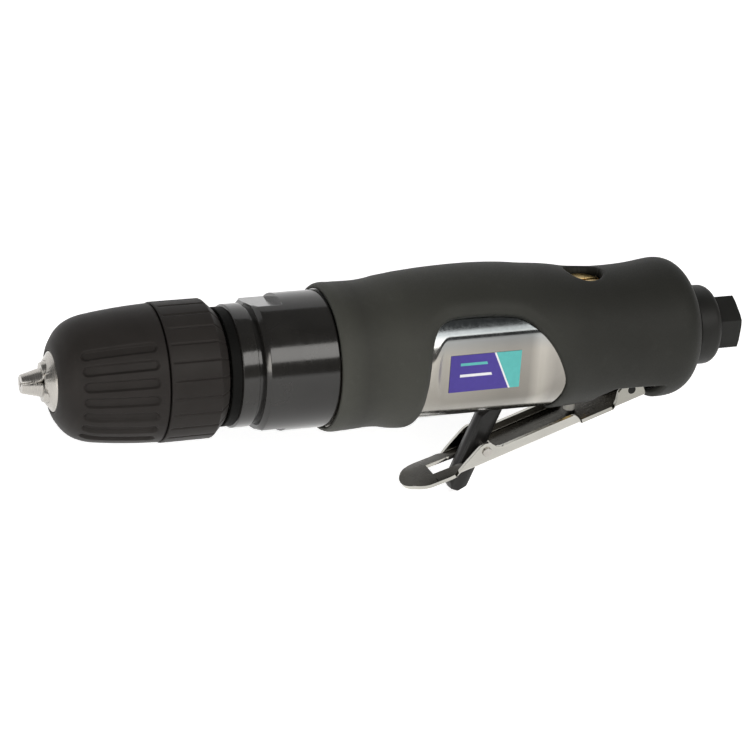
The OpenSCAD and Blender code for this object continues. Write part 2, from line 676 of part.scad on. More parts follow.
module chuck_collar() color([0.16, 0.15, 0.14]) difference() {
    turned([
        [chuck_body_r + press_gap, collar_back_x], [chuck_r - collar_chamfer, collar_back_x],
        [chuck_r, collar_back_x - collar_chamfer], [chuck_r, seam_x + seam_gap],
        [shell_bore_r, seam_x + seam_gap], [shell_bore_r, tip_x + jaw_reach_back + free_gap],
        [chuck_body_r + press_gap, tip_x + jaw_reach_back + free_gap]]);
    round_about(flute_positions)
        block([seam_x, -tick_w / 2, chuck_r - tick_depth], [collar_back_x, tick_w / 2, chuck_r + tick_depth]);
}
module chuck_screw() color("dimgray") difference() {
    union() {
        rod(tip_x + screw_floor_at - screw_head_h, screw_head_h, screw_head_r);
        rod(tip_x + screw_floor_at - screw_head_h, screw_head_h + screw_floor + screw_grip, screw_r);
    }
    along(tip_x + screw_floor_at - screw_head_h - overrun)
        cylinder(h = overrun + screw_head_h * recess_share, r = screw_recess_r, $fn = 6);
}

module spindle() color("silver") difference() {
    union() {
        rod(collar_back_x - spindle_thread_len, spindle_thread_len + chuck_gap, spindle_thread_r);
        rod(collar_back_x + press_gap, front_bearing_x - collar_back_x - press_gap, shoulder_r);
        rod(front_bearing_x, carrier_x - front_bearing_x + press_gap, front_bearing_bore);
        rod(carrier_x, carrier_w, carrier_r);
    }
    rod(collar_back_x - spindle_thread_len - overrun,
        tip_x + screw_floor_at + screw_floor + screw_grip + free_gap - collar_back_x
            + spindle_thread_len + overrun, screw_r + press_gap);
    for (k = [0 : planet_count - 1]) at_planet(k) rod(carrier_x - overrun, carrier_w + 2 * overrun,
        planet_pin_r + press_gap);
    rod(carrier_x + carrier_w / 2, carrier_w, sun_seat_r + 2 * free_gap);
}
module at_planet(k) {
    a = planet_angle(k);
    translate([0, centre_distance * sin(a), -centre_distance * cos(a)]) children();
}
module planet_pins() color("silver")
    for (k = [0 : planet_count - 1]) at_planet(k)
        rod(carrier_x, carrier_w + free_gap + gear_w, planet_pin_r);
module planet_gear(k) color("gray") at_planet(k) difference() {
    along(gear_x) rotate(planet_phase(planet_angle(k))) linear_extrude(height = gear_w)
        polygon(gear_points(planet_teeth, dedendum, addendum, -backlash));
    rod(gear_x - overrun, gear_w + 2 * overrun, planet_pin_r + run_gap / 2);
}
module ring_gear() color("gray") difference() {
    rod(gear_x - free_gap, gear_w + 2 * free_gap, motor_bore_r - press_gap);
    along(gear_x - overrun) rotate(ring_phase(planet_angle(0))) linear_extrude(height = gear_w + 2 * overrun)
        polygon(gear_points(ring_teeth, addendum, dedendum, backlash));
}
module sun_gear() color("gray") difference() {
    along(gear_x) linear_extrude(height = gear_w)
        polygon(gear_points(sun_teeth, dedendum, addendum, -backlash));
    rod(gear_x - overrun, gear_w + 2 * overrun, sun_seat_r + press_gap);
}
module circlip() color("dimgray") difference() {
    rod(circlip_x + press_gap, circlip_w - 2 * press_gap, front_bearing_r + circlip_depth - press_gap);
    rod(circlip_x - overrun, circlip_w + 2 * overrun, front_bearing_r + circlip_depth - circlip_band);
    block([circlip_x - overrun, -circlip_gap / 2, 0], [circlip_x + overrun, circlip_gap / 2, wide]);
}
module gear_case() color([0.12, 0.12, 0.12]) difference() {
    turned([
        [0, case_x], [small_ring_r - band_depth, case_x], [small_ring_r - band_depth, case_x + band_len],
        [small_ring_r, case_x + band_len + band_depth / 2], [small_ring_r, step_x - ring_groove_w],
        [small_ring_r - ring_groove_depth, step_x - ring_groove_w + ring_groove_depth / 3],
        [small_ring_r - ring_groove_depth, step_x], [large_ring_r - ring_chamfer, step_x],
        [large_ring_r, step_x + ring_chamfer], [large_ring_r, grip_front_x - press_gap],
        [skirt_r, grip_front_x - press_gap], [skirt_r, skirt_x], [0, skirt_x]]);
    rod(case_x - overrun, case_front_wall + 2 * overrun, shoulder_r + free_gap);
    rod(front_bearing_x, front_bearing_w + 2 * circlip_w, front_bearing_r);
    rod(circlip_x, circlip_w, front_bearing_r + circlip_depth);
    rod(circlip_x + circlip_w + press_gap, skirt_x - circlip_x + overrun, motor_bore_r);
    for (side = [0, 180]) rotate([side + flat_turn, 0, 0])
        block([step_x - overrun, -wide, large_ring_r - flat_depth], [step_x + flat_len, wide, wide]);
}

module front_plate() color("slategray") difference() {
    rod(plate_x, plate_w, motor_bore_r - press_gap);
    rod(plate_x - overrun, overrun + rotor_bearing_w, rotor_bearing_r);
    rod(plate_x, plate_w + overrun, rotor_bearing_bore + 3 * free_gap);
    dowel_hole();
}
module rear_plate() color("slategray") difference() {
    rod(back_plate_x, plate_w, motor_bore_r - press_gap);
    rod(back_plate_x + plate_w - rotor_bearing_w, rotor_bearing_w + overrun, rotor_bearing_r);
    rod(back_plate_x - overrun, plate_w + 2 * overrun, rotor_bearing_bore + 3 * free_gap);
    translate([0, 0, supply_z]) rod(back_plate_x - overrun, plate_w + 2 * overrun, supply_r);
    dowel_hole();
}
module dowel_hole() translate([0, 0, -dowel_at])
    rod(cylinder_x - dowel_reach - press_gap, cylinder_len + 2 * (dowel_reach + press_gap),
        dowel_r + press_gap);
module dowel() color("silver") translate([0, 0, -dowel_at])
    rod(cylinder_x - dowel_reach, cylinder_len + 2 * dowel_reach, dowel_r);
module cylinder_liner() color("gray") difference() {
    rod(cylinder_x, cylinder_len, motor_bore_r - press_gap);
    translate([0, 0, cylinder_offset]) rod(cylinder_x - overrun, cylinder_len + 2 * overrun, cylinder_bore_r);
    for (k = [0 : port_count - 1])
        translate([cylinder_x + cylinder_len / 2 + (k - (port_count - 1) / 2) * port_pitch, 0, 0])
            rotate([90, 0, 0]) cylinder(h = wide, r = port_r);
    dowel_hole();
}
module rotor() color("silver") difference() {
    union() {
        rod(cylinder_x + free_gap, cylinder_len - 2 * free_gap, rotor_r);
        rod(plate_x - free_gap, motor_back_x - plate_x, rotor_bearing_bore);
        rod(gear_x, plate_x - gear_x, sun_seat_r);
    }
    round_about(vane_count) block(
        [cylinder_x, -vane_w / 2 - run_gap, rotor_r - vane_h - vane_spare],
        [cylinder_x + cylinder_len, vane_w / 2 + run_gap, rotor_r + overrun]);
}
module rotor_vanes() color("saddlebrown") round_about(vane_count) block(
    [cylinder_x + free_gap, -vane_w / 2, rotor_r - vane_h - vane_spare / 2],
    [cylinder_x + cylinder_len - free_gap, vane_w / 2, rotor_r - vane_spare / 2]);

module housing_blank() turned([
    [0, grip_front_x], [housing_r, grip_front_x], [housing_r, taper_x - taper_len], [tail_r, taper_x],
    [tail_r, grip_back_x - tail_cone_len], [neck_r, grip_back_x + run_gap], [rim_r, grip_back_x + run_gap],
    [rim_r, deflector_x - press_gap],
    [0, deflector_x - press_gap]]);
module side_pad(side) linear_extrude(height = 2 * wide, center = true) polygon([
    [pad_x - pad_front_ramp, side * housing_r], [pad_x, side * pad_y], [pad_x + pad_len, side * pad_y],
    [pad_x + pad_len + pad_back_ramp, side * housing_r], [pad_x + pad_len, side * wide],
    [pad_x, side * wide]]);
module lever_room(gap) block(
    [window_x + window_len * lever_room_share, -lever_w / 2 - gap, -wide],
    [-pivot_at + lever_tail, lever_w / 2 + gap, -pivot_z + pivot_ear_r + 2 * free_gap]);
module ear_notch() side_plate([
    [-notch_at, -wide], [-notch_at, -notch_z], [-notch_at - notch_len, -notch_z],
    [-notch_at - notch_len - notch_ramp * ramp_share, (underside_z - notch_z) * -ramp_rise_share - notch_z],
    [-notch_at - notch_len - notch_ramp, -wide]], -wide, wide);
module housing() color("lightgray") difference() {
    union() {
        difference() {
            housing_blank();
            lever_room(2 * free_gap);
            ear_notch();
        }
        intersection() {
            side_plate([
                [-pivot_at - lug_r, -pivot_z], [-pivot_at + lug_r, -pivot_z],
                [-pivot_at + lug_r, -pivot_z + tail_r / 2], [-pivot_at - lug_r, -pivot_z + tail_r / 2]],
                -lug_half, lug_half);
            rod(taper_x, taper_at, tail_r);
        }
        cross_rod([-pivot_at, -pivot_z], -lug_half, lug_half, lug_r);
        intersection() {
            upright(valve_x, -bush_low_z, bush_low_z, bush_r + 4 * free_gap);
            rod(taper_x - taper_len, taper_at, tail_r);
        }
    }
    rod(grip_front_x - overrun, skirt_len + overrun, skirt_r + press_gap);
    rod(grip_front_x, motor_back_x - grip_front_x, motor_bore_r);
    for (side = [-1, 1]) {
        side_pad(side);
        translate([0, side * exhaust_y, 0]) rod(motor_back_x - overrun, -motor_back_x, exhaust_r);
    }
    block([window_x, -wide, -wide], [window_x + window_len, wide, -underside_z]);
    translate([0, 0, supply_z]) rod(motor_back_x - overrun, overrun + valve_x - motor_back_x, supply_r);
    upright(valve_x, -wide, 2 * wide, bush_r + press_gap);
    rod(valve_x, valve_at, passage_r);
    rod(shank_x - seal_w - press_gap, shank_len + seal_w + press_gap, shank_r + press_gap);
    cross_rod([-pivot_at, -pivot_z], -wide, wide, lever_pin_r + press_gap);
}
function grip_point(p, k) =
    let (a = 360 * k / grip_facets, r = grip_r * (p[2] + (p[1] - p[2]) * (1 + cos(a)) / 2))
    [grip_front_x + p[0] * grip_len, r * sin(a), r * cos(a)];
module grip_blank() {
    count = len(grip_shares);
    polyhedron(
        points = [for (p = grip_shares, k = [0 : grip_facets - 1]) grip_point(p, k)],
        faces = concat(
            [[for (k = [0 : grip_facets - 1]) k]],
            [for (i = [0 : count - 2], k = [0 : grip_facets - 1])
                [i * grip_facets + k, (i + 1) * grip_facets + k,
                    (i + 1) * grip_facets + (k + 1) % grip_facets]],
            [for (i = [0 : count - 2], k = [0 : grip_facets - 1])
                [i * grip_facets + k, (i + 1) * grip_facets + (k + 1) % grip_facets,
                    i * grip_facets + (k + 1) % grip_facets]],
            [[for (k = [grip_facets - 1 : -1 : 0]) (count - 1) * grip_facets + k]]));
}
module grip() color([0.2, 0.2, 0.18]) difference() {
    grip_blank();
    turned([
        [0, grip_front_x - overrun], [housing_r + run_gap, grip_front_x - overrun],
        [housing_r + run_gap, taper_x - taper_len + run_gap], [tail_r + run_gap, taper_x + run_gap],
        [tail_r + run_gap, grip_back_x - tail_cone_len + run_gap], [neck_r + run_gap, grip_back_x + run_gap],
        [neck_r + run_gap, grip_back_x + overrun], [0, grip_back_x + overrun]]);
    side_plate([for (p = window_shares) [window_x + p[0] * window_len, p[1] * window_top]], -wide, wide);
    upright(valve_x, 0, wide, recess_r);
    lever_room(4 * free_gap);
    ear_notch();
}
module label() color([0.35, 0.3, 0.6])
    block([label_x, -pad_y - label_w, -label_drop - label_h / 2],
        [label_x + label_len, -pad_y, label_h / 2 - label_drop]);

module valve_bush() color("goldenrod") difference() {
    upright(valve_x, -bush_low_z, plug_z + bush_low_z - press_gap, bush_r);
    upright(valve_x, head_z - free_gap, wide, bush_bore_r);
    upright(valve_x, -wide, wide, stem_r + run_gap);
    rod(valve_x - overrun - bush_r, 2 * (overrun + bush_r), supply_r);
    translate([0, 0, supply_z]) rod(valve_x - overrun - bush_r, overrun + bush_r, supply_r / 2);
}
module valve_plug() color("goldenrod") difference() {
    upright(valve_x, plug_z, plug_len, bush_r);
    block([valve_x - bush_r - overrun, -plug_slot_w / 2, plug_top_z - plug_slot_depth],
        [valve_x + bush_r + overrun, plug_slot_w / 2, plug_top_z + overrun]);
}
module valve_plunger() color("goldenrod") difference() {
    union() {
        upright(valve_x, stem_z, head_z - stem_z, stem_r);
        upright(valve_x, head_z, plunger_head_len, bush_bore_r - run_gap);
    }
    for (z = oring_heights) difference() {
        upright(valve_x, z - oring_w - run_gap, 2 * (oring_w + run_gap), bush_bore_r + overrun);
        upright(valve_x, z - overrun, 2 * overrun, oring_at_r - oring_w - press_gap);
    }
}
module valve_orings() color("black") for (z = oring_heights)
    translate([valve_x, 0, z]) rotate_extrude() translate([oring_at_r, 0]) circle(r = oring_w);
module valve_spring() color("silver") translate([valve_x, 0, spring_z + wire_r])
    polyhedron(points = wire_points(valve_coil, wire_r, [0, 0, 1]), faces = wire_faces(len(valve_coil)));

module lever_blank() side_plate([
    lever_point(-lever_tail, -floor_depth), lever_point(bend_at, -floor_depth),
    lever_point(lever_len, tip_rise - floor_depth),
    lever_point(lever_len, tip_rise - floor_depth + sheet),
    lever_point(ear_reach, (ear_reach - bend_at) * tan(lever_bend) - floor_depth + sheet),
    lever_point(latch_at + latch_ear_r * ear_shares[0], latch_ear_r * ear_shares[1]),
    lever_point(latch_at - latch_ear_r * ear_shares[1], latch_ear_r * ear_shares[3]),
    lever_point(latch_at - latch_ear_r * ear_shares[2], flange_h - floor_depth),
    lever_point(bare_to + flange_h / 2, flange_h - floor_depth), lever_point(bare_to, sheet - floor_depth),
    lever_point(bare_from, sheet - floor_depth),
    lever_point(pivot_ear_r * pivot_ear_share, pivot_ear_r * ear_shares[4]),
    lever_point(-pivot_ear_r * ear_shares[0], pivot_ear_r * ear_shares[4])], -lever_w / 2, lever_w / 2);
module lever_plan(inset) {
    nose = lever_point(lever_len, 0)[0] + lever_w / 2;
    translate([0, 0, -2 * wide]) linear_extrude(height = 4 * wide) union() {
        translate([nose, 0]) circle(r = lever_w / 2 - inset);
        translate([nose, inset - lever_w / 2]) square([wide * 2, lever_w - 2 * inset]);
    }
}
module throttle_lever() color("lightgray") difference() {
    union() {
        intersection() {
            lever_blank();
            lever_plan(0);
        }
        cross_rod([-pivot_at, -pivot_z], -lever_w / 2, lever_w / 2, pivot_ear_r);
        cross_rod(latch_pin_point(), -lever_w / 2, lever_w / 2, latch_ear_r);
    }
    intersection() {
        side_plate([
            lever_point(-overrun, sheet - floor_depth), lever_point(bend_at, sheet - floor_depth),
            lever_point(lever_len, tip_rise + sheet - floor_depth), lever_point(lever_len, 2 * overrun),
            lever_point(-overrun, 2 * overrun)], sheet - lever_w / 2, lever_w / 2 - sheet);
        lever_plan(sheet);
    }
    side_plate([
        lever_point(slot_from, -wide), lever_point(slot_to, -wide), lever_point(slot_to, wide),
        lever_point(slot_from, wide)], -latch_w / 2 - 2 * free_gap, latch_w / 2 + 2 * free_gap);
    cross_rod([-pivot_at, -pivot_z], -wide, wide, lever_pin_r + run_gap);
    cross_rod(latch_pin_point(), -wide, wide, latch_pin_r + press_gap);
}
module lever_pin() color("silver") cross_rod([-pivot_at, -pivot_z], -lever_w / 2, lever_w / 2, lever_pin_r);
module safety_latch() color([0.1, 0.1, 0.1]) difference() {
    union() {
        side_plate([
            latch_point(latch_up, latch_back),
            latch_point(latch_up * latch_shares[0], -latch_front * latch_shares[1]),
            latch_point(latch_up * latch_shares[2], -latch_front),
            latch_point(-latch_down * latch_shares[3], -latch_front),
            latch_point(-latch_down, -latch_front * latch_shares[4]),
            latch_point(-latch_down, -latch_front * latch_shares[5]),
            latch_point(-latch_down * latch_shares[6], latch_back)], -latch_w / 2, latch_w / 2);
        cross_rod(latch_pin_point(), -latch_w / 2, latch_w / 2, latch_boss_r);
    }
    cross_rod(latch_pin_point(), -wide, wide, latch_pin_r + run_gap);
}
module latch_pin() color("silver") union() {
    cross_rod(latch_pin_point(), -lever_w / 2 - latch_head_w, lever_w / 2 + latch_head_w, latch_pin_r);
    for (side = [-1, 1])
        translate([0, side * (lever_w / 2 + latch_head_w / 2 + press_gap), 0])
            cross_rod(latch_pin_point(), -latch_head_w / 2, latch_head_w / 2, latch_head_r);
}
module latch_spring() color("silver")
    translate([latch_pin_point()[0], latch_w / 2 + 2 * free_gap + latch_coil_w, latch_pin_point()[1]])
        rotate([90, 0, 0]) polyhedron(
            points = wire_points(latch_coil, latch_wire_r, [0, 0, 1]), faces = wire_faces(len(latch_coil)));

module inlet_bushing() color([0.1, 0.1, 0.1]) difference() {
    union() {
        intersection() {
            rotate([hex_turn, 0, 0]) along(hex_x) rotate(30)
                cylinder(h = hex_len, r = hex_w / sqrt(3), $fn = 6);
            turned([
                [0, hex_x], [hex_w, hex_x], [hex_w, -hex_w / sqrt(3) - hex_chamfer + hex_w / 2],
                [hex_w / sqrt(3) - hex_chamfer, 0], [0, 0]]);
        }
        rod(shank_x, shank_len + hex_len / 2, shank_r);
    }
    rod(-inlet_depth, inlet_depth + overrun, inlet_bore_r);
    rod(-inlet_depth - strainer_w - press_gap, strainer_w + overrun, strainer_r);
    rod(shank_x - overrun, shank_len + overrun, passage_r);
}
module inlet_seal() color("black") difference() {
    rod(shank_x - seal_w, seal_w - press_gap, shank_r - press_gap);
    rod(shank_x - overrun, 2 * overrun, passage_r);
}
module strainer() color("goldenrod") difference() {
    rod(-inlet_depth - strainer_w, strainer_w - press_gap, strainer_r - press_gap);
    rod(-inlet_depth - overrun, 2 * overrun, strainer_hole_r);
    for (ring = [1, 2]) round_about(6 * ring)
        translate([0, 0, ring * strainer_pitch]) rod(-inlet_depth - overrun, 2 * overrun, strainer_hole_r);
}
module exhaust_deflector() color([0.1, 0.1, 0.1]) difference() {
    turned(concat(
        [[shank_r + press_gap, deflector_x], [deflector_r - deflector_wall / 2, deflector_x],
            [deflector_r, deflector_x + deflector_wall / 2]],
        [for (i = [0 : 6]) [
            deflector_r - deflector_round * (1 - cos(15 * i)),
            hex_x - press_gap - deflector_round * (1 - sin(15 * i))]],
        [[shank_r + press_gap, hex_x - press_gap]]));
    difference() {
        rod(deflector_x - overrun, deflector_len + overrun - 2 * deflector_wall,
            deflector_r - deflector_wall);
        rod(deflector_x - overrun, deflector_len + overrun, shank_r);
    }
    round_about(outlet_count) translate([0, 0, hex_w / sqrt(3) + outlet_r + press_gap])
        rod(deflector_x, deflector_len + overrun, outlet_r);
}
module silencer() color("dimgray") difference() {
    rod(deflector_x + press_gap, deflector_len - 2 * deflector_wall - 2 * press_gap,
        deflector_r - deflector_wall - press_gap);
    rod(deflector_x - overrun, deflector_len + overrun, shank_r + press_gap);
}

chuck_jaw(0);  // chuck_jaw_1
chuck_jaw(1);  // chuck_jaw_2
chuck_jaw(2);  // chuck_jaw_3
chuck_body();
chuck_sleeve();
chuck_nut();
chuck_collar();
chuck_screw();
spindle();
planet_pins();
planet_gear(0);  // planet_gear_1
planet_gear(1);  // planet_gear_2
planet_gear(2);  // planet_gear_3
ring_gear();
sun_gear();
front_bearing_outer();
front_bearing_inner();
front_bearing_balls();
circlip();
gear_case();
front_plate();
rotor_bearing_outer(bearing_1_x);  // rotor_bearing_1_outer
rotor_bearing_inner(bearing_1_x);  // rotor_bearing_1_inner
rotor_bearing_balls(bearing_1_x);  // rotor_bearing_1_balls
cylinder_liner();
rotor();
rotor_vanes();
dowel();
rear_plate();
rotor_bearing_outer(bearing_2_x);  // rotor_bearing_2_outer
rotor_bearing_inner(bearing_2_x);  // rotor_bearing_2_inner
rotor_bearing_balls(bearing_2_x);  // rotor_bearing_2_balls
housing();
grip();
label();
valve_bush();
valve_plug();
valve_plunger();
valve_orings();
valve_spring();
throttle_lever();
lever_pin();
safety_latch();
latch_pin();
latch_spring();
inlet_bushing();
inlet_seal();
strainer();
exhaust_deflector();
silencer();
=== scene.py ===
import json
import math

import bmesh
import bpy
import numpy as np
from mathutils import Matrix, Vector


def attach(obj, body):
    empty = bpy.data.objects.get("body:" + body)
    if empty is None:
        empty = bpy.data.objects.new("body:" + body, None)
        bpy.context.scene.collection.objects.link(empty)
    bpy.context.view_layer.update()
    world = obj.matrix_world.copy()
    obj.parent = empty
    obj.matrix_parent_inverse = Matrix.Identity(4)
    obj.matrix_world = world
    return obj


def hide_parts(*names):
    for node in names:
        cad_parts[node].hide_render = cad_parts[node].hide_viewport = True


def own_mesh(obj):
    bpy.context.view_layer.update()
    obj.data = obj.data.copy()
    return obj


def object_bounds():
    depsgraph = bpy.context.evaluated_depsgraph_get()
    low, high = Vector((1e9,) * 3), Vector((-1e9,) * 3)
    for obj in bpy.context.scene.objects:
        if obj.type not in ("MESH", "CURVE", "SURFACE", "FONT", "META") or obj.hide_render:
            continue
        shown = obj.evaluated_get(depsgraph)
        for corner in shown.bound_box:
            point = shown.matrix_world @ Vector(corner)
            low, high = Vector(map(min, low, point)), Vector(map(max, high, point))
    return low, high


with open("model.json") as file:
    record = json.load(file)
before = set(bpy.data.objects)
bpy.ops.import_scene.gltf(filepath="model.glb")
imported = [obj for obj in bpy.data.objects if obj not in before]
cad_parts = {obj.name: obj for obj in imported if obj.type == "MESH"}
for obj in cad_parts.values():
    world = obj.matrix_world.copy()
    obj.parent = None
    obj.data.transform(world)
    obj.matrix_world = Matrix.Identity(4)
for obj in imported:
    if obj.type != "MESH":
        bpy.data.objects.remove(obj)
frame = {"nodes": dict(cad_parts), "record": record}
cad_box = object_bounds()
nodes = frame["nodes"]
MM = 0.001

# Stations along the spindle axis and main radii, in mm, as in the part's source
LENGTH, COLLAR_INNER_AT = 239.7, 45.8
GRIP_FRONT, GRIP_LEN, GRIP_R, GRIP_GAP = -145.1, 127.1, 26.4, 0.1
GRIP_BACK = GRIP_FRONT + GRIP_LEN
STEP_X, CASE_X = -168.7, -178.9
COLLAR_BACK, SEAM_X, SLEEVE_X = -179.7, -199.1, -230.5
CHUCK_R, SHELL_BORE, CHUCK_BODY_R, NOSE_R, GUIDE_R, NOSE_LEN = 21.6, 17.6, 13.5, 9.2, 12.5, 3.3
HOUSING_R, TAIL_R, NECK_R, RIM_R = 21.8, 19.5, 12.7, 13.6
TAPER_X, TAPER_LEN, TAIL_CONE = -59.0, 8.0, 9.0
BORE_END, FRONT_BORE, TAIL_BORE = -99.0, 17.6, 9.0
PAD_X, PAD_LEN, PAD_Y, UNDERSIDE_Z = -110.1, 33.0, 19.0, 19.3
WINDOW_X, WINDOW_LEN, WINDOW_TOP = -116.7, 48.5, 18.7
LABEL_X, LABEL_Z = -96.2, -1.2
VALVE_X, RECESS_R, BUSH_R = -56.0, 6.4, 5.5
SPRING_LOW, SPRING_HIGH, SPRING_R, SPRING_WIRE, SPRING_TURNS, PLUNGER_LIFT = 2.2, 15.3, 2.4, 0.4, 6, 3.1
PIVOT_X, PIVOT_Z, PIN_R = -37.7, -17.8, 1.5
LEVER_SLOPE, LEVER_BEND = math.radians(18.8), math.radians(2)
LEVER_W, SHEET, FLOOR_DEPTH, LEVER_LEN, BEND_AT = 16.0, 1.3, 4.2, 81.2, 57.0
LATCH_AT, LATCH_LEAN, LATCH_W = 53.0, math.radians(21.5), 5.4
SLOT_FROM, SLOT_TO, SLOT_HALF = 48.5, 71.2, LATCH_W / 2 + 0.6
DEFLECTOR_X = -17.4
LUG_HALF, LUG_R, LUG_ROOT_Z = 6.1, 2.5, -11.0
SMALL_RING_R, LARGE_RING_R, CASE_BORE, CASE_MOUTH = 19.2, 21.5, 18.0, 7.8
BAND_LEN, BAND_DROP = 3.0, 1.1
FLAT_LEN, FLAT_DEPTH, FLAT_TURN = 9.2, 2.2, math.radians(13)
# Where the lever's room begins, the gap left at faces that meet, and the points round the body's meshes
ROOM_FRONT = WINDOW_X + 0.9 * WINDOW_LEN
TOUCH = 0.03
ROUND = 420

# Grip along its length: share of the length, then shares of its radius at the top and at the bottom
GRIP_SHARES = [
    (0, .864, .864), (.008, .886, .88), (.04, .89, .882), (.075, .888, .876), (.105, .889, .868),
    (.135, .904, .876), (.16, .926, .9), (.185, .94, .915), (.21, .955, .918), (.24, .968, .9),
    (.28, .983, .88), (.33, .994, .87), (.39, 1, .865), (.45, .993, .86), (.5, .976, .86),
    (.545, .95, .857), (.59, .93, .855), (.63, .905, .85), (.67, .87, .842), (.715, .849, .833),
    (.76, .836, .826), (.805, .838, .826), (.85, .85, .83), (.88, .866, .838), (.905, .882, .845),
    (.925, .89, .842), (.945, .878, .826), (.962, .842, .79), (.977, .775, .73), (.989, .675, .64),
    (1, .5, .5)]
# Chuck sleeve along its length: share of the length and share of the chuck's radius
SLEEVE_SHARES = [
    (0, .465), (.016, .535), (.045, .614), (.092, .71), (.156, .794), (.236, .854), (.315, .889),
    (.411, .912), (.538, .935), (.666, .954), (.825, .972), (1, .985)]
# Cut-out's edge: shares of its length and of its height over the axis
WINDOW_SHARES = [
    (0, -1.8), (0, -.68), (.01, .12), (.035, .6), (.08, .82), (.14, .94), (.22, .99), (.42, 1),
    (.62, .955), (.715, .85), (.8, .63), (.885, .32), (.96, -.1), (1, -.42), (.99, -.77),
    (.97, -1), (.97, -1.8)]
# Side outline (x, z) of the room over the lever's rear end
NOTCH = [(-31.4, -60), (-31.4, -12.7), (-49.0, -12.7), (-53.5, -15.7), (-64.0, -60)]
# Top edge of the lever's flanges as distance from the pivot and height over the pivot's line
FLANGE = [
    (-4.3, -2.2), (-4.1, 0.2), (-3.2, 1.7), (-1.6, 2.8), (0, 3.15), (1.6, 2.75), (3.2, 1.9), (4.6, 1.0),
    (5.8, -1.4), (7.2, -3.4), (7.8, -4.2), (19.5, -4.2), (19.8, -2.6), (20.5, -1.0), (21.6, -0.3),
    (47.6, -0.3), (49.4, 0.5), (50.7, 2.1), (51.7, 2.8), (53, 3.0), (54.4, 2.65), (55.7, 1.95),
    (63.4, -2.5), (65.2, -3.95), (81.2, -3.6)]
# Rows of the lever's mesh along it: from, to and step
LEVER_ROWS = [(-4.3, 8.2, 0.2), (8.2, 19.0, 1.0), (19.0, 22.2, 0.2), (22.2, 47, 1.2), (47, 73, 0.3)]
# Side outline of the latch as height over its pin and reach behind it, and the radius of each corner
LATCH_SIDES = [
    (15.5, 1.8), (14.7, -1.0), (9.3, -4.8), (-15.1, -4.8), (-17.2, -3.45), (-17.2, -.5), (-14.6, 1.8)]
LATCH_RADII = [0.6, 0.8, 1.2, 0.5, 0.4, 0.4, 0.5]


# Mesh helpers
def smoothstep(low, high, value):
    t = np.clip((value - low) / (high - low), 0, 1)
    return t * t * (3 - 2 * t)


def smooth_min(a, b, k):
    h = np.clip(0.5 + 0.5 * (b - a) / k, 0, 1)
    return b * (1 - h) + a * h - k * h * (1 - h)


def spline(points, at):
    """Monotone cubic through points (x, y), read at the given places."""
    x, y = np.array(points, float).T
    d = np.diff(y) / np.diff(x)
    m = np.concatenate([[d[0]], (d[:-1] + d[1:]) / 2, [d[-1]]])
    m[1:-1][d[:-1] * d[1:] <= 0] = 0
    i = np.clip(np.searchsorted(x, at) - 1, 0, len(d) - 1)
    h = x[i + 1] - x[i]
    t = (at - x[i]) / h
    return ((2 * t**3 - 3 * t**2 + 1) * y[i] + (t**3 - 2 * t**2 + t) * h * m[i]
            + (3 * t**2 - 2 * t**3) * y[i + 1] + (t**3 - t**2) * h * m[i + 1])


def fillet(points, radius, steps=5):
    """Closed outline with its corners rounded; radius is one value or one per corner."""
    straight, most_of_side = 1.55, 0.48
    count = len(points)
    radii = [radius] * count if np.isscalar(radius) else radius
    out = []
    for i, r in enumerate(radii):
        p = np.array(points[i], float)
        a, b = np.array(points[i - 1], float) - p, np.array(points[(i + 1) % count], float) - p
        la, lb = np.linalg.norm(a), np.linalg.norm(b)
        a, b = a / la, b / lb
        half = math.acos(max(-1, min(1, float(a @ b)))) / 2
        if r <= 0 or half > straight:
            out.append(p)
            continue
        cut = min(r / math.tan(half), most_of_side * la, most_of_side * lb)
        for k in range(steps + 1):
            t = k / steps
            out.append((1 - t)**2 * (p + a * cut) + 2 * t * (1 - t) * p + t * t * (p + b * cut))
    return out


def densify(points, step):
    """Closed outline with points added so that no side is longer than the step."""
    out = []
    for i in range(len(points)):
        p, q = np.array(points[i], float), np.array(points[(i + 1) % len(points)], float)
        n = max(1, int(math.ceil(np.linalg.norm(q - p) / step)))
        out += [p + (q - p) * k / n for k in range(n)]
    return out


def mesh_piece(name, verts, faces):
    """Smooth object from points in mm; points that coincide are joined."""
    same_point = 1e-7
    mesh = bpy.data.meshes.new(name)
    mesh.from_pydata([tuple(float(c) * MM for c in v) for v in verts], [], [tuple(f) for f in faces])
    mesh.validate()
    obj = bpy.data.objects.new(name, mesh)
    bpy.context.scene.collection.objects.link(obj)
    bm = bmesh.new()
    bm.from_mesh(mesh)
    bmesh.ops.remove_doubles(bm, verts=bm.verts, dist=same_point)
    bmesh.ops.recalc_face_normals(bm, faces=bm.faces)
    bm.to_mesh(mesh)
    bm.free()
    mesh.shade_smooth()
    return obj


def grid_faces(rows, cols, wrap_rows=False, wrap_cols=True):
    r = np.arange(rows if wrap_rows else rows - 1)
    c = np.arange(cols if wrap_cols else cols - 1)
    r, c = [a.ravel() for a in np.meshgrid(r, c, indexing="ij")]
    r2, c2 = (r + 1) % rows, (c + 1) % cols
    return np.stack([r * cols + c, r2 * cols + c, r2 * cols + c2, r * cols + c2], 1)


def end_rings(rows, cols):
    """Faces that join a tube's outer skin to its inner one, for the first row and the last."""
    shift = rows * cols
    rings = []
    for row in (0, rows - 1):
        i = row * cols + np.arange(cols)
        j = row * cols + (np.arange(cols) + 1) % cols
        rings.append(np.stack([i, j, j + shift, i + shift], 1))
    return rings


def around_axis(X, R, A):
    """Points at radii R and angles A about the spindle axis."""
    return np.stack([X, R * np.sin(A), R * np.cos(A)], -1).reshape(-1, 3)


def full_turn(count):
    return np.arange(count) * 2 * math.pi / count


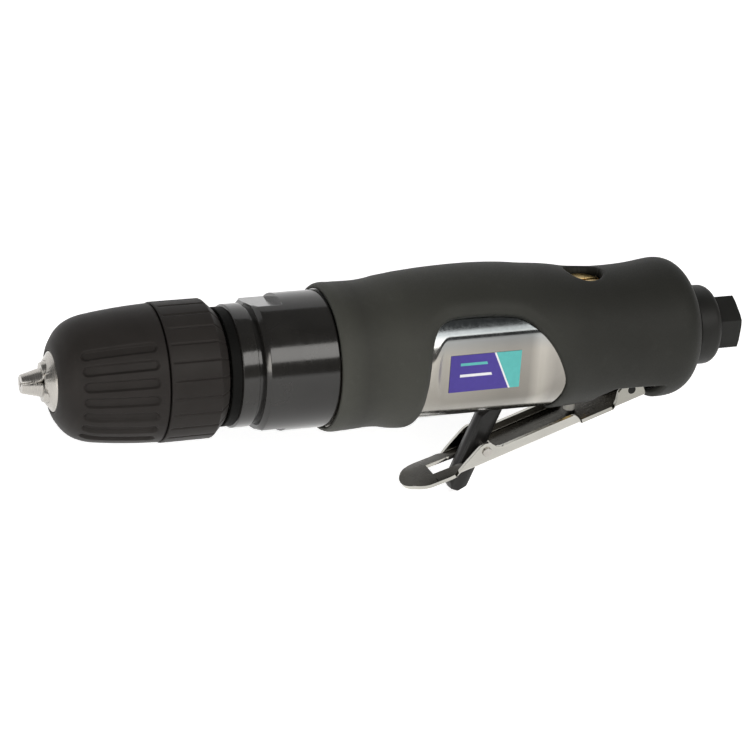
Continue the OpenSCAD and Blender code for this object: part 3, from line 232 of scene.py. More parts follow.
def revolve(name, outline, around, push=None):
    """Closed outline of (x, r) turned about the spindle axis; push changes radii by place and angle."""
    x, r = np.array(outline, float).T
    X, A = np.meshgrid(x, full_turn(around), indexing="ij")
    R = np.repeat(r[:, None], around, 1)
    if push:
        R = push(X, A, R)
    return mesh_piece(name, around_axis(X, R, A), grid_faces(len(x), around, wrap_rows=True))


def extrude(name, outline, widths, inset=None):
    """Side outline of (x, z) drawn through the places in widths along Y; inset moves points by place."""
    count = len(outline)
    pts = np.array(outline, float)
    verts = []
    for y in widths:
        row = inset(pts, y) if inset else pts
        verts += [(x, y, z) for x, z in row]
    faces = [list(f) for f in grid_faces(len(widths), count)]
    faces += [list(range(count)), [(len(widths) - 1) * count + i for i in range(count)]]
    return mesh_piece(name, verts, faces)


def drop_loose(verts, faces):
    used = np.unique(faces)
    index = np.full(len(verts), -1)
    index[used] = np.arange(len(used))
    return verts[used], index[faces]


def sharpen(obj, degrees=35):
    obj.data.set_sharp_from_angle(angle=math.radians(degrees))
    return obj


def add_bevel(obj, width, degrees):
    bevel = obj.modifiers.new("bevel", "BEVEL")
    bevel.width = width * MM
    bevel.segments = 2
    bevel.limit_method = "ANGLE"
    bevel.angle_limit = math.radians(degrees)
    return bevel


def bevelled(obj, width):
    """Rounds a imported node's sharp edges with modifiers; its mesh stays as it is."""
    weld = obj.modifiers.new("weld", "WELD")
    weld.merge_threshold = 1e-6
    flat = obj.modifiers.new("flat", "DECIMATE")
    flat.decimate_type = "DISSOLVE"
    flat.angle_limit = math.radians(0.5)
    bevel = add_bevel(obj, width, 35)
    bevel.harden_normals = False
    bevel.miter_outer = "MITER_ARC"


# Materials
def new_material(name):
    mat = bpy.data.materials.new(name)
    mat.use_nodes = True
    tree = mat.node_tree
    return mat, tree, tree.nodes["Principled BSDF"]


def node(tree, kind, **values):
    n = tree.nodes.new(kind)
    for key, value in values.items():
        if key in n.inputs.keys():
            n.inputs[key].default_value = value
        else:
            setattr(n, key, value)
    return n


def object_coords(tree):
    return node(tree, "ShaderNodeTexCoord").outputs["Object"]


def split_coords(tree, coords):
    split = node(tree, "ShaderNodeSeparateXYZ")
    tree.links.new(coords, split.inputs[0])
    return split.outputs


def noise(tree, coords, scale, detail, stretch=(1, 1, 1)):
    mapping = node(tree, "ShaderNodeMapping")
    mapping.inputs["Scale"].default_value = stretch
    tree.links.new(coords, mapping.inputs["Vector"])
    n = node(tree, "ShaderNodeTexNoise", Scale=scale, Detail=detail, Roughness=0.55)
    tree.links.new(mapping.outputs["Vector"], n.inputs["Vector"])
    return n.outputs["Fac"]


def ramp(tree, fac, stops):
    n = node(tree, "ShaderNodeValToRGB")
    elements = n.color_ramp.elements
    while len(elements) < len(stops):
        elements.new(0.5)
    for e, (pos, colour) in zip(elements, stops):
        e.position = pos
        e.color = (*colour, 1)
    tree.links.new(fac, n.inputs["Fac"])
    return n.outputs["Color"]


def remap(tree, value, low, high, from_low=0.3, from_high=0.7):
    n = node(tree, "ShaderNodeMapRange")
    n.inputs["From Min"].default_value = from_low
    n.inputs["From Max"].default_value = from_high
    n.inputs["To Min"].default_value = low
    n.inputs["To Max"].default_value = high
    tree.links.new(value, n.inputs["Value"])
    return n.outputs["Result"]


def mix_colours(tree, fac, under, over, blend="MIX"):
    """Mix of two colours; each of the three inputs is a socket or a value."""
    mix = node(tree, "ShaderNodeMix", data_type="RGBA", blend_type=blend)
    for index, value in ((0, fac), (6, under), (7, over)):
        if isinstance(value, bpy.types.NodeSocket):
            tree.links.new(value, mix.inputs[index])
        else:
            mix.inputs[index].default_value = value
    return mix.outputs[2]


def bump(tree, shader, height, strength, distance):
    n = node(tree, "ShaderNodeBump", Strength=strength, Distance=distance)
    tree.links.new(height, n.inputs["Height"])
    tree.links.new(n.outputs["Normal"], shader.inputs["Normal"])


def shade(c, f):
    return tuple(min(1, v * f) for v in c)


DUST = (0.2, 0.2, 0.18, 1)


def surface(name, colour, rough, metallic=0.0, patch=40, spread=0.25, rough_spread=0.08, grain=900,
            grain_depth=0.00004, grain_strength=0.35, stretch=(1, 1, 1), coat=0.0, specular=0.5, dust=0.0):
    """Material with patchy colour, varied roughness and a fine relief, all from noise."""
    mat, tree, shader = new_material(name)
    coords = object_coords(tree)
    patches = noise(tree, coords, patch, 5)
    fine = noise(tree, coords, grain, 3, stretch)
    dark, light = shade(colour, 1 - spread), shade(colour, 1 + spread)
    tint = ramp(tree, patches, [(0.3, dark), (0.52, colour), (0.75, light)])
    if dust:
        specks = noise(tree, coords, patch * 9, 2)
        tint = mix_colours(tree, remap(tree, specks, 0, dust, 0.62, 0.74), tint, DUST)
    tree.links.new(tint, shader.inputs["Base Color"])
    varied = remap(tree, fine, rough - rough_spread, rough + rough_spread)
    tree.links.new(varied, shader.inputs["Roughness"])
    shader.inputs["Metallic"].default_value = metallic
    shader.inputs["Specular IOR Level"].default_value = specular
    shader.inputs["Coat Weight"].default_value = coat
    shader.inputs["Coat Roughness"].default_value = 0.15
    bump(tree, shader, fine, grain_strength, grain_depth)
    return mat


# Grain drawn out round the spindle axis, along the lever and up the pads
RING, ALONG, UPRIGHT = (1, 0.02, 0.02), (0.05, 1, 1), (1, 1, 0.03)
MATERIALS = {
    "grip_rubber": surface(
        "rubber_moulded", (0.052, 0.0525, 0.0445), 0.62, patch=28, spread=0.16, rough_spread=0.07,
        grain=2600, grain_depth=0.00005, grain_strength=0.3, specular=0.2, dust=0.03),
    "chuck_plastic": surface(
        "plastic_satin", (0.0245, 0.022, 0.0205), 0.46, patch=60, spread=0.15, rough_spread=0.06,
        grain=4200, grain_depth=0.00003, grain_strength=0.25, specular=0.07),
    "black_steel": surface(
        "steel_blacked", (0.014, 0.0132, 0.012), 0.14, patch=50, spread=0.3, rough_spread=0.05,
        grain=2400, grain_depth=0.00001, grain_strength=0.12, stretch=RING, coat=0.1, specular=0.4),
    "bright_steel": surface(
        "steel_turned", (0.46, 0.44, 0.41), 0.26, metallic=1.0, patch=120, spread=0.12, rough_spread=0.06,
        grain=3000, grain_depth=0.00001, grain_strength=0.25, stretch=RING),
    "gear_steel": surface(
        "steel_oiled", (0.36, 0.35, 0.34), 0.35, metallic=1.0, patch=90, spread=0.2,
        grain=2000, grain_depth=0.00001, grain_strength=0.2),
    "polished_alloy": surface(
        "alloy_polished", (0.67, 0.645, 0.6), 0.17, metallic=1.0, patch=35, spread=0.06, rough_spread=0.05,
        grain=1500, grain_depth=0.000006, grain_strength=0.12, stretch=UPRIGHT),
    "plated_sheet": surface(
        "sheet_plated", (0.47, 0.46, 0.425), 0.17, metallic=1.0, patch=70, spread=0.08, rough_spread=0.05,
        grain=1200, grain_depth=0.000008, grain_strength=0.15, stretch=ALONG),
    # Painted shade: the lever's inner faces are darkened to stand in for shade and dark reflections under
    # the grip
    "sheet_inside_painted_shade": surface(
        "sheet_inner_painted_shade", (0.06, 0.057, 0.05), 0.24, metallic=1.0, patch=60, spread=0.3,
        rough_spread=0.06, grain=1200, grain_depth=0.000008, grain_strength=0.08, stretch=ALONG),
    "matt_steel": surface(
        "steel_matt", (0.014, 0.014, 0.0128), 0.52, patch=80, spread=0.2,
        grain=2800, grain_depth=0.00003, grain_strength=0.3, specular=0.15),
    # Painted shade: near-black dull colour for the band in the gap behind the chuck collar
    "painted_gap_shade": surface(
        "steel_painted_gap_shade", (0.006, 0.006, 0.0055), 0.6, patch=70, spread=0.3,
        grain=2400, grain_depth=0.00002, grain_strength=0.2, stretch=RING, specular=0.06),
    "plunger_steel": surface(
        "steel_plunger", (0.85, 0.83, 0.78), 0.4, metallic=0.4, patch=150, spread=0.1,
        grain=3000, grain_depth=0.00001, grain_strength=0.2),
    "brass": surface(
        "brass_turned", (0.55, 0.4, 0.17), 0.3, metallic=1.0, patch=150,
        grain=2500, grain_depth=0.00001, grain_strength=0.25),
    "latch_plastic": surface(
        "latch_black", (0.012, 0.0115, 0.011), 0.34, patch=90,
        grain=2600, grain_depth=0.00003, grain_strength=0.2, specular=0.3),
    "deflector_plastic": surface(
        "deflector_black", (0.014, 0.014, 0.0125), 0.5, patch=80, spread=0.2,
        grain=3000, grain_depth=0.00003, grain_strength=0.3, specular=0.2),
    "seal_rubber": surface("seal_black", (0.02, 0.02, 0.02), 0.6, patch=100, grain=3000),
    "vane_laminate": surface(
        "vane_brown", (0.28, 0.15, 0.07), 0.55, patch=60, grain=1500, stretch=(0.1, 1, 1)),
    "felt": surface(
        "felt_grey", (0.22, 0.21, 0.19), 0.9, patch=200, spread=0.4,
        grain=3500, grain_depth=0.0002, grain_strength=0.8),
}


def paint_light_along(slot, axis, stops):
    """Paints light and shade into a material: multiplies its colour by a ramp along one axis; stops are
    places in mm with colours.
    """
    tree = MATERIALS[slot].node_tree
    low, high = stops[0][0], stops[-1][0]
    place_on = remap(tree, split_coords(tree, object_coords(tree))[axis], 0, 1, low * MM, high * MM)
    colours = ramp(tree, place_on, [((at - low) / (high - low), colour) for at, colour in stops])
    socket = tree.nodes["Principled BSDF"].inputs["Base Color"]
    tree.links.new(mix_colours(tree, 1.0, socket.links[0].from_socket, colours, "MULTIPLY"), socket)


def grey_stops(stops):
    return [(at, (grey, grey, grey)) for at, grey in stops]


def label_material():
    """Printed film: a violet field, a slanted teal end and pale rules."""
    violet, teal, pale = (0.05, 0.032, 0.24, 1), (0.085, 0.4, 0.38, 1), (0.7, 0.7, 0.72, 1)
    slope, slant_at, slant_rule, soft = 0.45, 5.5, 0.6, 0.05
    rule_from, rule_end_gap, rule_height = -8.6, 4.2, 0.9
    rules = [(-1.2, pale), (2.6, teal)]
    mat, tree, shader = new_material("label_print")
    coords = object_coords(tree)
    split = split_coords(tree, coords)

    def line(a, b, offset):
        """One where a * x + b * z passes the offset in mm, with a soft edge."""
        dot = node(tree, "ShaderNodeMath", operation="MULTIPLY_ADD")
        tree.links.new(split["X"], dot.inputs[0])
        dot.inputs[1].default_value = a
        dot.inputs[2].default_value = -offset * MM
        add = node(tree, "ShaderNodeMath", operation="MULTIPLY_ADD")
        tree.links.new(split["Z"], add.inputs[0])
        add.inputs[1].default_value = b
        tree.links.new(dot.outputs[0], add.inputs[2])
        return remap(tree, add.outputs[0], 0, 1, -soft * MM, soft * MM)

    def both(a, b):
        n = node(tree, "ShaderNodeMath", operation="MULTIPLY")
        tree.links.new(a, n.inputs[0])
        tree.links.new(b, n.inputs[1])
        return n.outputs[0]

    slant = LABEL_X + slant_at
    colour = mix_colours(tree, line(1, slope, slant - slant_rule), violet, pale)
    colour = mix_colours(tree, line(1, slope, slant), colour, teal)
    for at, ink in rules:
        low = LABEL_Z + at
        bar = both(line(0, 1, low), line(0, -1, -low - rule_height))
        bar = both(bar, line(-1, -slope, -slant + rule_end_gap))
        bar = both(bar, line(1, 0, LABEL_X + rule_from))
        colour = mix_colours(tree, bar, colour, ink)
    worn = noise(tree, coords, 700, 3)
    wear = ramp(tree, worn, [(0.3, (0.75, 0.75, 0.78)), (0.7, (1, 1, 1))])
    tree.links.new(mix_colours(tree, 0.35, colour, wear, "MULTIPLY"), shader.inputs["Base Color"])
    tree.links.new(remap(tree, worn, 0.28, 0.4), shader.inputs["Roughness"])
    shader.inputs["Specular IOR Level"].default_value = 0.3
    bump(tree, shader, worn, 0.1, 0.00001)
    return mat


MATERIALS["label_film"] = label_material()
# Painted reflections on the polished metal: dark bands painted as shade and reflection under the rubber's
# upper edge and along the lower one, painted highlights on the pad's ends
paint_light_along("polished_alloy", "Z", [
    (-20, (0.3, 0.29, 0.28)), (-17, (0.6, 0.6, 0.59)), (-9, (0.52, 0.51, 0.49)), (5, (0.62, 0.61, 0.59)),
    (9.5, (0.5, 0.53, 0.56)), (12, (0.24, 0.27, 0.3)), (16, (0.34, 0.38, 0.42)), (19, (0.5, 0.52, 0.55))])
# Painted highlights: bright bands on the pad's front end and on its rear ramp, darker pad between
paint_light_along("polished_alloy", "X", [
    (-118, (0.95, 0.95, 0.95)), (-110, (0.8, 0.8, 0.8)), (-88, (0.6, 0.6, 0.6)), (-81, (0.64, 0.64, 0.64)),
    (-77.6, (1, 1, 1)), (-76, (1, 1, 1)), (-72.5, (0.74, 0.74, 0.75)), (-66, (0.8, 0.8, 0.8))])
# Painted light: the rubber is painted lighter towards the front and darker towards the rear
paint_light_along("grip_rubber", "X", grey_stops([
    (-146, 1), (-142, 0.85), (-136.5, 0.62), (-126, 0.78), (-115, 0.66), (-101, 0.52), (-84, 0.49),
    (-63, 0.38), (-18, 0.34)]))
# Painted shadow: the lever's rear end, under the grip, is darkened
paint_light_along("plated_sheet", "X", [
    (-116, (1, 1, 1)), (-58, (1, 1, 1)), (-44, (0.66, 0.66, 0.64)), (-30, (0.6, 0.6, 0.58))])


def dress(obj, slot):
    obj.data.materials.clear()
    obj.data.materials.append(MATERIALS[slot])
    return obj


def place(obj, body, slot, *replaced):
    dress(obj, slot)
    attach(obj, body)
    if replaced:
        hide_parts(*replaced)
    return obj


for part in frame["record"]["subparts"]:
    dress(nodes[part["node"]], part["material_slot"])
dress(nodes["inlet_bushing"], "matt_steel")
dress(nodes["valve_plunger"], "plunger_steel")


# Grip: rubber sleeve with the cut-out, the valve's recess and the lever's room
def window_outline():
    """The cut-out's edge as points (x, z), with its corners drawn smooth."""
    pts = np.array([(WINDOW_X + u * WINDOW_LEN, v * WINDOW_TOP) for u, v in WINDOW_SHARES])
    for _ in range(3):
        a, b = pts[:-1], pts[1:]
        cut = np.empty((2 * len(a), 2))
        cut[0::2], cut[1::2] = 0.75 * a + 0.25 * b, 0.25 * a + 0.75 * b
        pts = np.vstack([pts[:1], cut, pts[-1:]])
    return pts


def polygon_distance(px, pz, poly):
    """Signed distance to a closed outline, negative inside."""
    far, tiny = 1e9, 1e-12
    best = np.full(px.shape, far)
    inside = np.zeros(px.shape, bool)
    for i in range(len(poly)):
        (x0, z0), (x1, z1) = poly[i], poly[(i + 1) % len(poly)]
        dx, dz = x1 - x0, z1 - z0
        t = np.clip(((px - x0) * dx + (pz - z0) * dz) / max(dx * dx + dz * dz, tiny), 0, 1)
        best = np.minimum(best, (px - x0 - t * dx)**2 + (pz - z0 - t * dz)**2)
        if z0 != z1:
            cross = ((z0 > pz) != (z1 > pz)) & (px < (x1 - x0) * (pz - z0) / (z1 - z0) + x0)
            inside ^= cross
    return np.where(inside, -1, 1) * np.sqrt(best)


def box_distance(u, v, low_u, high_u, half_v):
    du = np.maximum(low_u - u, u - high_u)
    dv = np.abs(v) - half_v
    corner = np.hypot(np.maximum(du, 0), np.maximum(dv, 0))
    return np.where((du > 0) & (dv > 0), corner, np.maximum(du, dv))


def barrel_radius(X):
    """Radius of the metal body before its pads: barrel, taper, tail, cone and neck."""
    stations = [GRIP_FRONT, TAPER_X - TAPER_LEN, TAPER_X, GRIP_BACK - TAIL_CONE, GRIP_BACK, DEFLECTOR_X]
    return np.interp(X, stations, [HOUSING_R, HOUSING_R, TAIL_R, TAIL_R, NECK_R, NECK_R])


def build_grip():
    rows_along, end_rows, end_share = 330, 10, 0.02
    nudge, snap_depth, snap_share, top_gap = 0.01, 0.6, 0.98, 2
    soft_lip, small_lip, lip_reach, lip_drop, wall_drop = 3.6, 0.9, 6, 0.8, 0.85
    side_room, far = 1.2, 99
    ends = np.linspace(0, end_share, end_rows) * GRIP_LEN
    xs = np.linspace(GRIP_FRONT, GRIP_BACK, rows_along)
    xs = np.unique(np.concatenate([xs, GRIP_FRONT + ends, GRIP_BACK - ends]))
    t = (xs - GRIP_FRONT) / GRIP_LEN
    top = spline([(s[0], s[1]) for s in GRIP_SHARES], t) * GRIP_R
    low = spline([(s[0], s[2]) for s in GRIP_SHARES], t) * GRIP_R
    X, A = np.meshgrid(xs, full_turn(ROUND), indexing="ij")
    R = low[:, None] + (top - low)[:, None] * (1 + np.cos(A)) / 2
    inner = barrel_radius(X) + GRIP_GAP
    Y, Z = R * np.sin(A), R * np.cos(A)
    edge = window_outline()
    hole = polygon_distance(X, Z, edge)
    # Points just inside the cut-out move onto its edge, so that the edge runs smooth
    slope_x = (polygon_distance(X + nudge, Z, edge) - hole) / nudge
    slope_z = (polygon_distance(X, Z + nudge, edge) - hole) / nudge
    near = (hole < 0) & (hole > -snap_depth) & (np.abs(Z) < R - top_gap)
    on_edge_x = np.where(near, X - snap_share * hole * slope_x, X)
    on_edge_z = np.where(near, Z - snap_share * hole * slope_z, Z)
    on_edge_a = np.arccos(np.clip(on_edge_z / R, -1, 1)) * np.where(np.sin(A) < 0, -1, 1)
    on_edge_a = np.where(near, on_edge_a, A)
    lip = np.where(np.abs(hole) < lip_reach, soft_lip, small_lip)
    room = box_distance(X, Y, ROOM_FRONT, PIVOT_X, LEVER_W / 2 + side_room)
    room = np.minimum(room, polygon_distance(X, Z, np.array(NOTCH)))
    lip = np.where((Z < 0) & (room < hole), small_lip, lip)
    hole = np.where(Z < 0, np.minimum(hole, room), hole)
    well = np.where(Z > 0, np.hypot(X - VALVE_X, Y) - RECESS_R, far)
    lip = np.where(well < hole, small_lip, lip)
    hole = np.minimum(hole, well)
    # A rounded lip round each opening, then a wall down to the metal
    wall = 1 - np.sqrt(np.clip(1 - np.clip(1 - hole / lip, 0, 1)**2, 0, 1))
    R = R - wall * np.minimum(lip_drop * lip, wall_drop * (R - inner))
    R = np.where(hole < 0, inner, R)
    outer, back = around_axis(on_edge_x, R, on_edge_a), around_axis(on_edge_x, inner, on_edge_a)
    gone = hole.ravel() < 0
    faces = grid_faces(len(xs), ROUND)
    faces = faces[~gone[faces].all(1)]
    rings = [ring[~(gone[ring[:, 0]] & gone[ring[:, 1]])] for ring in end_rings(len(xs), ROUND)]
    faces = np.vstack([faces, faces[:, ::-1] + len(outer)] + rings)
    return mesh_piece("grip_rubber", *drop_loose(np.vstack([outer, back]), faces))


place(build_grip(), "body", "grip_rubber", "grip")


# Metal body with its pads
def housing_radius(X, A):
    """Radius of the metal body with its side pads and flat underside, softly joined."""
    ramp_in, front_ramp, rear_ramp, past, soft, least, far = 1, 6, 8, 0.6, 0.9, 0.2, 99
    side, down = np.abs(np.sin(A)), -np.cos(A)
    pad_back = PAD_X + PAD_LEN
    lift = np.maximum(smoothstep(PAD_X + ramp_in, PAD_X - front_ramp, X),
                      smoothstep(pad_back - ramp_in, pad_back + rear_ramp, X))
    pad = (PAD_Y + lift * (HOUSING_R - PAD_Y + past)) / np.maximum(side, least)
    under = np.where(X < WINDOW_X + WINDOW_LEN, UNDERSIDE_Z, far) / np.maximum(down, least)
    return smooth_min(smooth_min(barrel_radius(X), pad, soft), under, soft)


def build_housing():
    front_rows, back_rows, neck_edge = 190, 90, 0.15
    side_room, over_pin, least, step, well_depth = 0.6, 3.8, 0.05, 0.01, 3.6
    xs = np.unique(np.concatenate([
        np.linspace(GRIP_FRONT, TAPER_X, front_rows), np.linspace(TAPER_X, GRIP_BACK, back_rows),
        [DEFLECTOR_X - neck_edge, DEFLECTOR_X - TOUCH]]))
    X, A = np.meshgrid(xs, full_turn(ROUND), indexing="ij")
    R = housing_radius(X, A)
    below, down = np.cos(A) < 0, np.maximum(-np.cos(A), least)
    room = (X > ROOM_FRONT) & (X < PIVOT_X) & (np.abs(R * np.sin(A)) < LEVER_W / 2 + side_room) & below
    R = np.where(room, np.minimum(R, (-PIVOT_Z - over_pin) / down), R)
    notch_x, notch_z = np.array(NOTCH[::-1]).T
    notch_x[-2] -= step
    R = np.where(below, np.minimum(R, np.interp(X, notch_x, -notch_z) / down), R)
    well = np.hypot(X - VALVE_X, R * np.sin(A)) < BUSH_R + TOUCH
    R = np.where(well & (np.cos(A) > 0), R - well_depth, R)
    outer = around_axis(X, R, A)
    back = around_axis(X, np.where(X < BORE_END, FRONT_BORE, TAIL_BORE), A)
    faces = grid_faces(len(xs), ROUND)
    faces = np.vstack([faces, faces[:, ::-1] + len(outer)] + end_rings(len(xs), ROUND))
    return sharpen(mesh_piece("housing_body", np.vstack([outer, back]), faces), 40)


def build_lug():
    turn = np.linspace(math.pi, 2 * math.pi, 25)
    arc = [(PIVOT_X + LUG_R * math.cos(t), PIVOT_Z + LUG_R * math.sin(t)) for t in turn]
    outline = arc + [(PIVOT_X + LUG_R, LUG_ROOT_Z), (PIVOT_X - LUG_R, LUG_ROOT_Z)]
    return sharpen(extrude("housing_lug", outline, (-LUG_HALF, LUG_HALF)))


def build_rim():
    front, back, foot, edge = GRIP_BACK + 2 * TOUCH, DEFLECTOR_X - TOUCH, NECK_R - 2, 0.15
    outline = fillet([(front, foot), (front, RIM_R), (back, RIM_R), (back, foot)], [0, edge, edge, 0], 3)
    return sharpen(revolve("housing_rim", outline, 240))


place(build_housing(), "body", "polished_alloy", "housing")
place(build_lug(), "body", "polished_alloy")
place(build_rim(), "body", "polished_alloy")


# Throttle lever: a pressed channel with ears, a slot and a rounded tip
def lever_point(u, n):
    return (PIVOT_X - u * math.cos(LEVER_SLOPE) - n * math.sin(LEVER_SLOPE),
            PIVOT_Z - u * math.sin(LEVER_SLOPE) + n * math.cos(LEVER_SLOPE))


def build_lever():
    bend_r, curl_depth, tip_depth, dome_from, dome_to = 1.7, 0.6, 0.8, 60, 68
    flange_steps, floor_cols, tip_rows, tiny = 14, 7, 30, 1e-9
    half = LEVER_W / 2
    nose = LEVER_LEN - half
    tip = nose + half * np.sin(np.linspace(0, math.pi / 2, tip_rows))
    us = np.concatenate([np.arange(*row) for row in LEVER_ROWS] + [tip, (SLOT_FROM, SLOT_TO)])
    us = np.unique(np.round(us, 4))
    us = us[us <= LEVER_LEN]
    fractions = np.linspace(0, 1, flange_steps + 1)[1:]
    verts = []
    for u in us:
        w = half if u < nose else half * math.sqrt(max(0, 1 - ((u - nose) / half)**2))
        base = -FLOOR_DEPTH + max(0, u - BEND_AT) * math.tan(LEVER_BEND)
        h = max(0, float(np.interp(u, *np.array(FLANGE).T)) - base)
        rc = min(bend_r, h, w)
        edge = w - rc
        s = min(SLOT_HALF, 0.5 * edge)
        arc = rc * math.pi / 2
        side = []
        for d in fractions * (arc + h - rc):
            turn = d / max(rc, tiny)
            if d < arc:
                side.append((edge + rc * math.sin(turn), rc * (1 - math.cos(turn))))
            else:
                side.append((w, rc + d - arc))
        row = [(-y, n) for y, n in side[::-1]]
        row += [(y, 0) for y in (-edge, -(edge + s) / 2, -s, 0, s, (edge + s) / 2, edge)]
        row += side
        # In front of the ears the sheet is a tongue whose edges turn down
        dome = smoothstep(dome_from, dome_to, u)
        droop = tip_depth * dome * max(0, (u - nose) / half)**3
        for y, n in row:
            curl = curl_depth * dome * (abs(y) / half)**3
            x, z = lever_point(u, base + n - max(curl, droop))
            verts.append((x, y, z))
    cols = 2 * flange_steps + floor_cols
    faces = grid_faces(len(us), cols, wrap_cols=False)
    # The latch's slot lies between the floor's third column and its fifth
    row, col = faces[:, 0] // cols, faces[:, 0] % cols
    at = ((us[:-1] + us[1:]) / 2)[row]
    in_slot = (at > SLOT_FROM) & (at < SLOT_TO) & (col >= flange_steps + 2) & (col < flange_steps + 4)
    obj = mesh_piece("lever_pressed", *drop_loose(np.array(verts), faces[~in_slot]))
    if sum(f.normal.z * f.area for f in obj.data.polygons) > 0:
        obj.data.flip_normals()
    thick = obj.modifiers.new("sheet", "SOLIDIFY")
    thick.thickness = SHEET * MM
    thick.offset = -1
    thick.use_even_offset = False
    thick.material_offset = 1
    add_bevel(obj, 0.3, 50)
    even = obj.modifiers.new("even", "WEIGHTED_NORMAL")
    even.weight = 80
    return obj


lever = place(build_lever(), "lever_body", "plated_sheet", "throttle_lever")
# The lever's inner faces take the painted shade material
lever.data.materials.append(MATERIALS["sheet_inside_painted_shade"])


# Lever pin: a dark rod whose chamfered ends stand just proud of the ears
def build_pin():
    proud, chamfer = 0.08, 0.2
    end = LEVER_W / 2 + proud
    turn = full_turn(48)
    outline = np.stack([np.cos(turn), np.sin(turn)], 1)

    def shape(pts, y):
        r = PIN_R - max(0, abs(y) - end + chamfer)
        return r * pts + np.array([PIVOT_X, PIVOT_Z])

    return sharpen(extrude("lever_pin_turned", outline, (-end, chamfer - end, end - chamfer, end), shape))


dress(place(build_pin(), "body", "bright_steel", "lever_pin"), "matt_steel")


# Safety latch: a bar with a ridge along its front
def build_latch():
    chamfer, ridge_share = 0.35, 0.1
    half = LATCH_W / 2
    px, pz = lever_point(LATCH_AT, 0)
    c, d = math.cos(LATCH_LEAN), math.sin(LATCH_LEAN)

    def shape(pts, y):
        up, back = pts.T
        off = abs(y) / half
        back = np.where(back < -1, back * (1 - ridge_share * smoothstep(0.15, 0.75, off)), back)
        cut = chamfer if off > 0.99 else 0
        up = np.where(up > 0, np.minimum(up, up.max() - cut), np.maximum(up, up.min() + cut))
        back = np.clip(back, back.min() + cut, back.max() - cut)
        return np.stack([px + up * d + back * c, pz + up * c - back * d], 1)

    one_side = [share * half for share in (0.15, 0.45, 0.75)] + [half - chamfer, half]
    widths = [-y for y in one_side[::-1]] + one_side
    return sharpen(extrude("latch_bar", fillet(LATCH_SIDES, LATCH_RADII, 4), widths, shape), 50)


place(build_latch(), "latch_body", "latch_plastic", "safety_latch")


# Gear case: two blacked rings with wrench flats on the rear one, and a recessed band in front whose
# near-black dull colour is painted shade in the gap behind the collar
def build_case():
    band_ramp, groove_from, groove_to, groove_depth = 0.35, 1.8, 1.5, 0.9
    chamfer, back_len, back_drop, floor, seam, mesh_step = 1.3, 0.5, 0.4, 2, 0.05, 1.2
    back = GRIP_FRONT - 0.02
    flat_end = STEP_X + FLAT_LEN
    pts = [
        (CASE_X, CASE_MOUTH), (CASE_X, SMALL_RING_R - BAND_DROP),
        (CASE_X + BAND_LEN, SMALL_RING_R - BAND_DROP), (CASE_X + BAND_LEN + band_ramp, SMALL_RING_R),
        (STEP_X - groove_from, SMALL_RING_R), (STEP_X - groove_to, SMALL_RING_R - groove_depth),
        (STEP_X, SMALL_RING_R - groove_depth), (STEP_X, LARGE_RING_R - chamfer),
        (STEP_X + chamfer, LARGE_RING_R), (flat_end - seam, LARGE_RING_R), (flat_end + seam, LARGE_RING_R),
        (GRIP_FRONT - back_len, LARGE_RING_R), (back, LARGE_RING_R - back_drop), (back, CASE_BORE),
        (CASE_X + floor, CASE_BORE), (CASE_X + floor, CASE_MOUTH)]
    radii = [0, .25, 0, .4, .3, 0, 0, .25, .4, 0, 0, .2, .2, 0, 0, 0]

    def push(X, A, R):
        flat = (X > STEP_X - 0.01) & (X < flat_end) & (R > CASE_BORE + 0.5)
        reach = np.maximum(np.abs(np.cos(A - FLAT_TURN)), 0.1)
        return np.where(flat, np.minimum(R, (LARGE_RING_R - FLAT_DEPTH) / reach), R)

    return sharpen(revolve("gear_case_rings", densify(fillet(pts, radii, 4), mesh_step), 720, push), 30)


def build_band():
    front, back, rise, sink = CASE_X + 0.02, CASE_X + BAND_LEN, 0.4, 0.2
    low, high = SMALL_RING_R - BAND_DROP - sink, SMALL_RING_R - BAND_DROP + rise
    outline = fillet([(front, low), (front, high), (back, high), (back, low)], [0, 0.2, 0, 0], 3)
    return sharpen(revolve("gear_case_band", outline, 240))


place(build_case(), "body", "black_steel", "gear_case")
# The band's near-black colour is painted shade
dress(place(build_band(), "body", "black_steel"), "painted_gap_shade")


# Chuck: sleeve with flutes, collar with fine grooves
def capsule(u, v, low, high, r):
    return np.hypot(u - np.clip(u, low, high), v) - r


def build_sleeve():
    nose_share, nose_rows, side_rows, gap = 0.1, 16, 120, 0.3
    flute_from, flute_to, flute_r, flute_depth, flute_lip = 7.5, 26.9, 1.55, 0.95, 0.1
    flute_turn, flute_pitch, flutes_each_way = math.pi / 2, math.pi / 12, 3
    edge_in, edge_mid, edge_drop = 0.35, 0.1, 0.4
    ts = np.concatenate([np.linspace(0, nose_share, nose_rows)[:-1], np.linspace(nose_share, 1, side_rows)])
    rs = spline(SLEEVE_SHARES, ts) * CHUCK_R
    outer = [(SLEEVE_X + t * (SEAM_X - SLEEVE_X), r) for t, r in zip(ts, rs)]
    x, r = outer.pop()
    outer += [(x - edge_in, r), (x - edge_mid, r - edge_mid), (x, r - edge_drop)]
    fluted = len(outer) - 3
    back = [(SEAM_X, SHELL_BORE), (SLEEVE_X + 0.75 * SHELL_BORE, SHELL_BORE),
            (SLEEVE_X + GUIDE_R / 2 - gap, GUIDE_R + 2 * gap),
            (SLEEVE_X + NOSE_LEN / 2 - gap, NOSE_R + gap), (SLEEVE_X, NOSE_R + gap)]

    def push(X, A, R):
        cut = np.zeros_like(R)
        for side in (0, math.pi):
            for k in range(-flutes_each_way, flutes_each_way + 1):
                angle = -(side + flute_turn + k * flute_pitch)
                off = (A - angle + math.pi) % (2 * math.pi) - math.pi
                d = capsule(X, off * R, SLEEVE_X + flute_from, SLEEVE_X + flute_to, flute_r)
                cut = np.maximum(cut, smoothstep(0.25, -0.55, d) * flute_depth)
                cut = cut - flute_lip * np.exp(-((d - 0.5) / 0.3)**2)
        cut[fluted:] = 0
        return R - cut

    return revolve("chuck_sleeve_moulded", outer + back, 720, push)


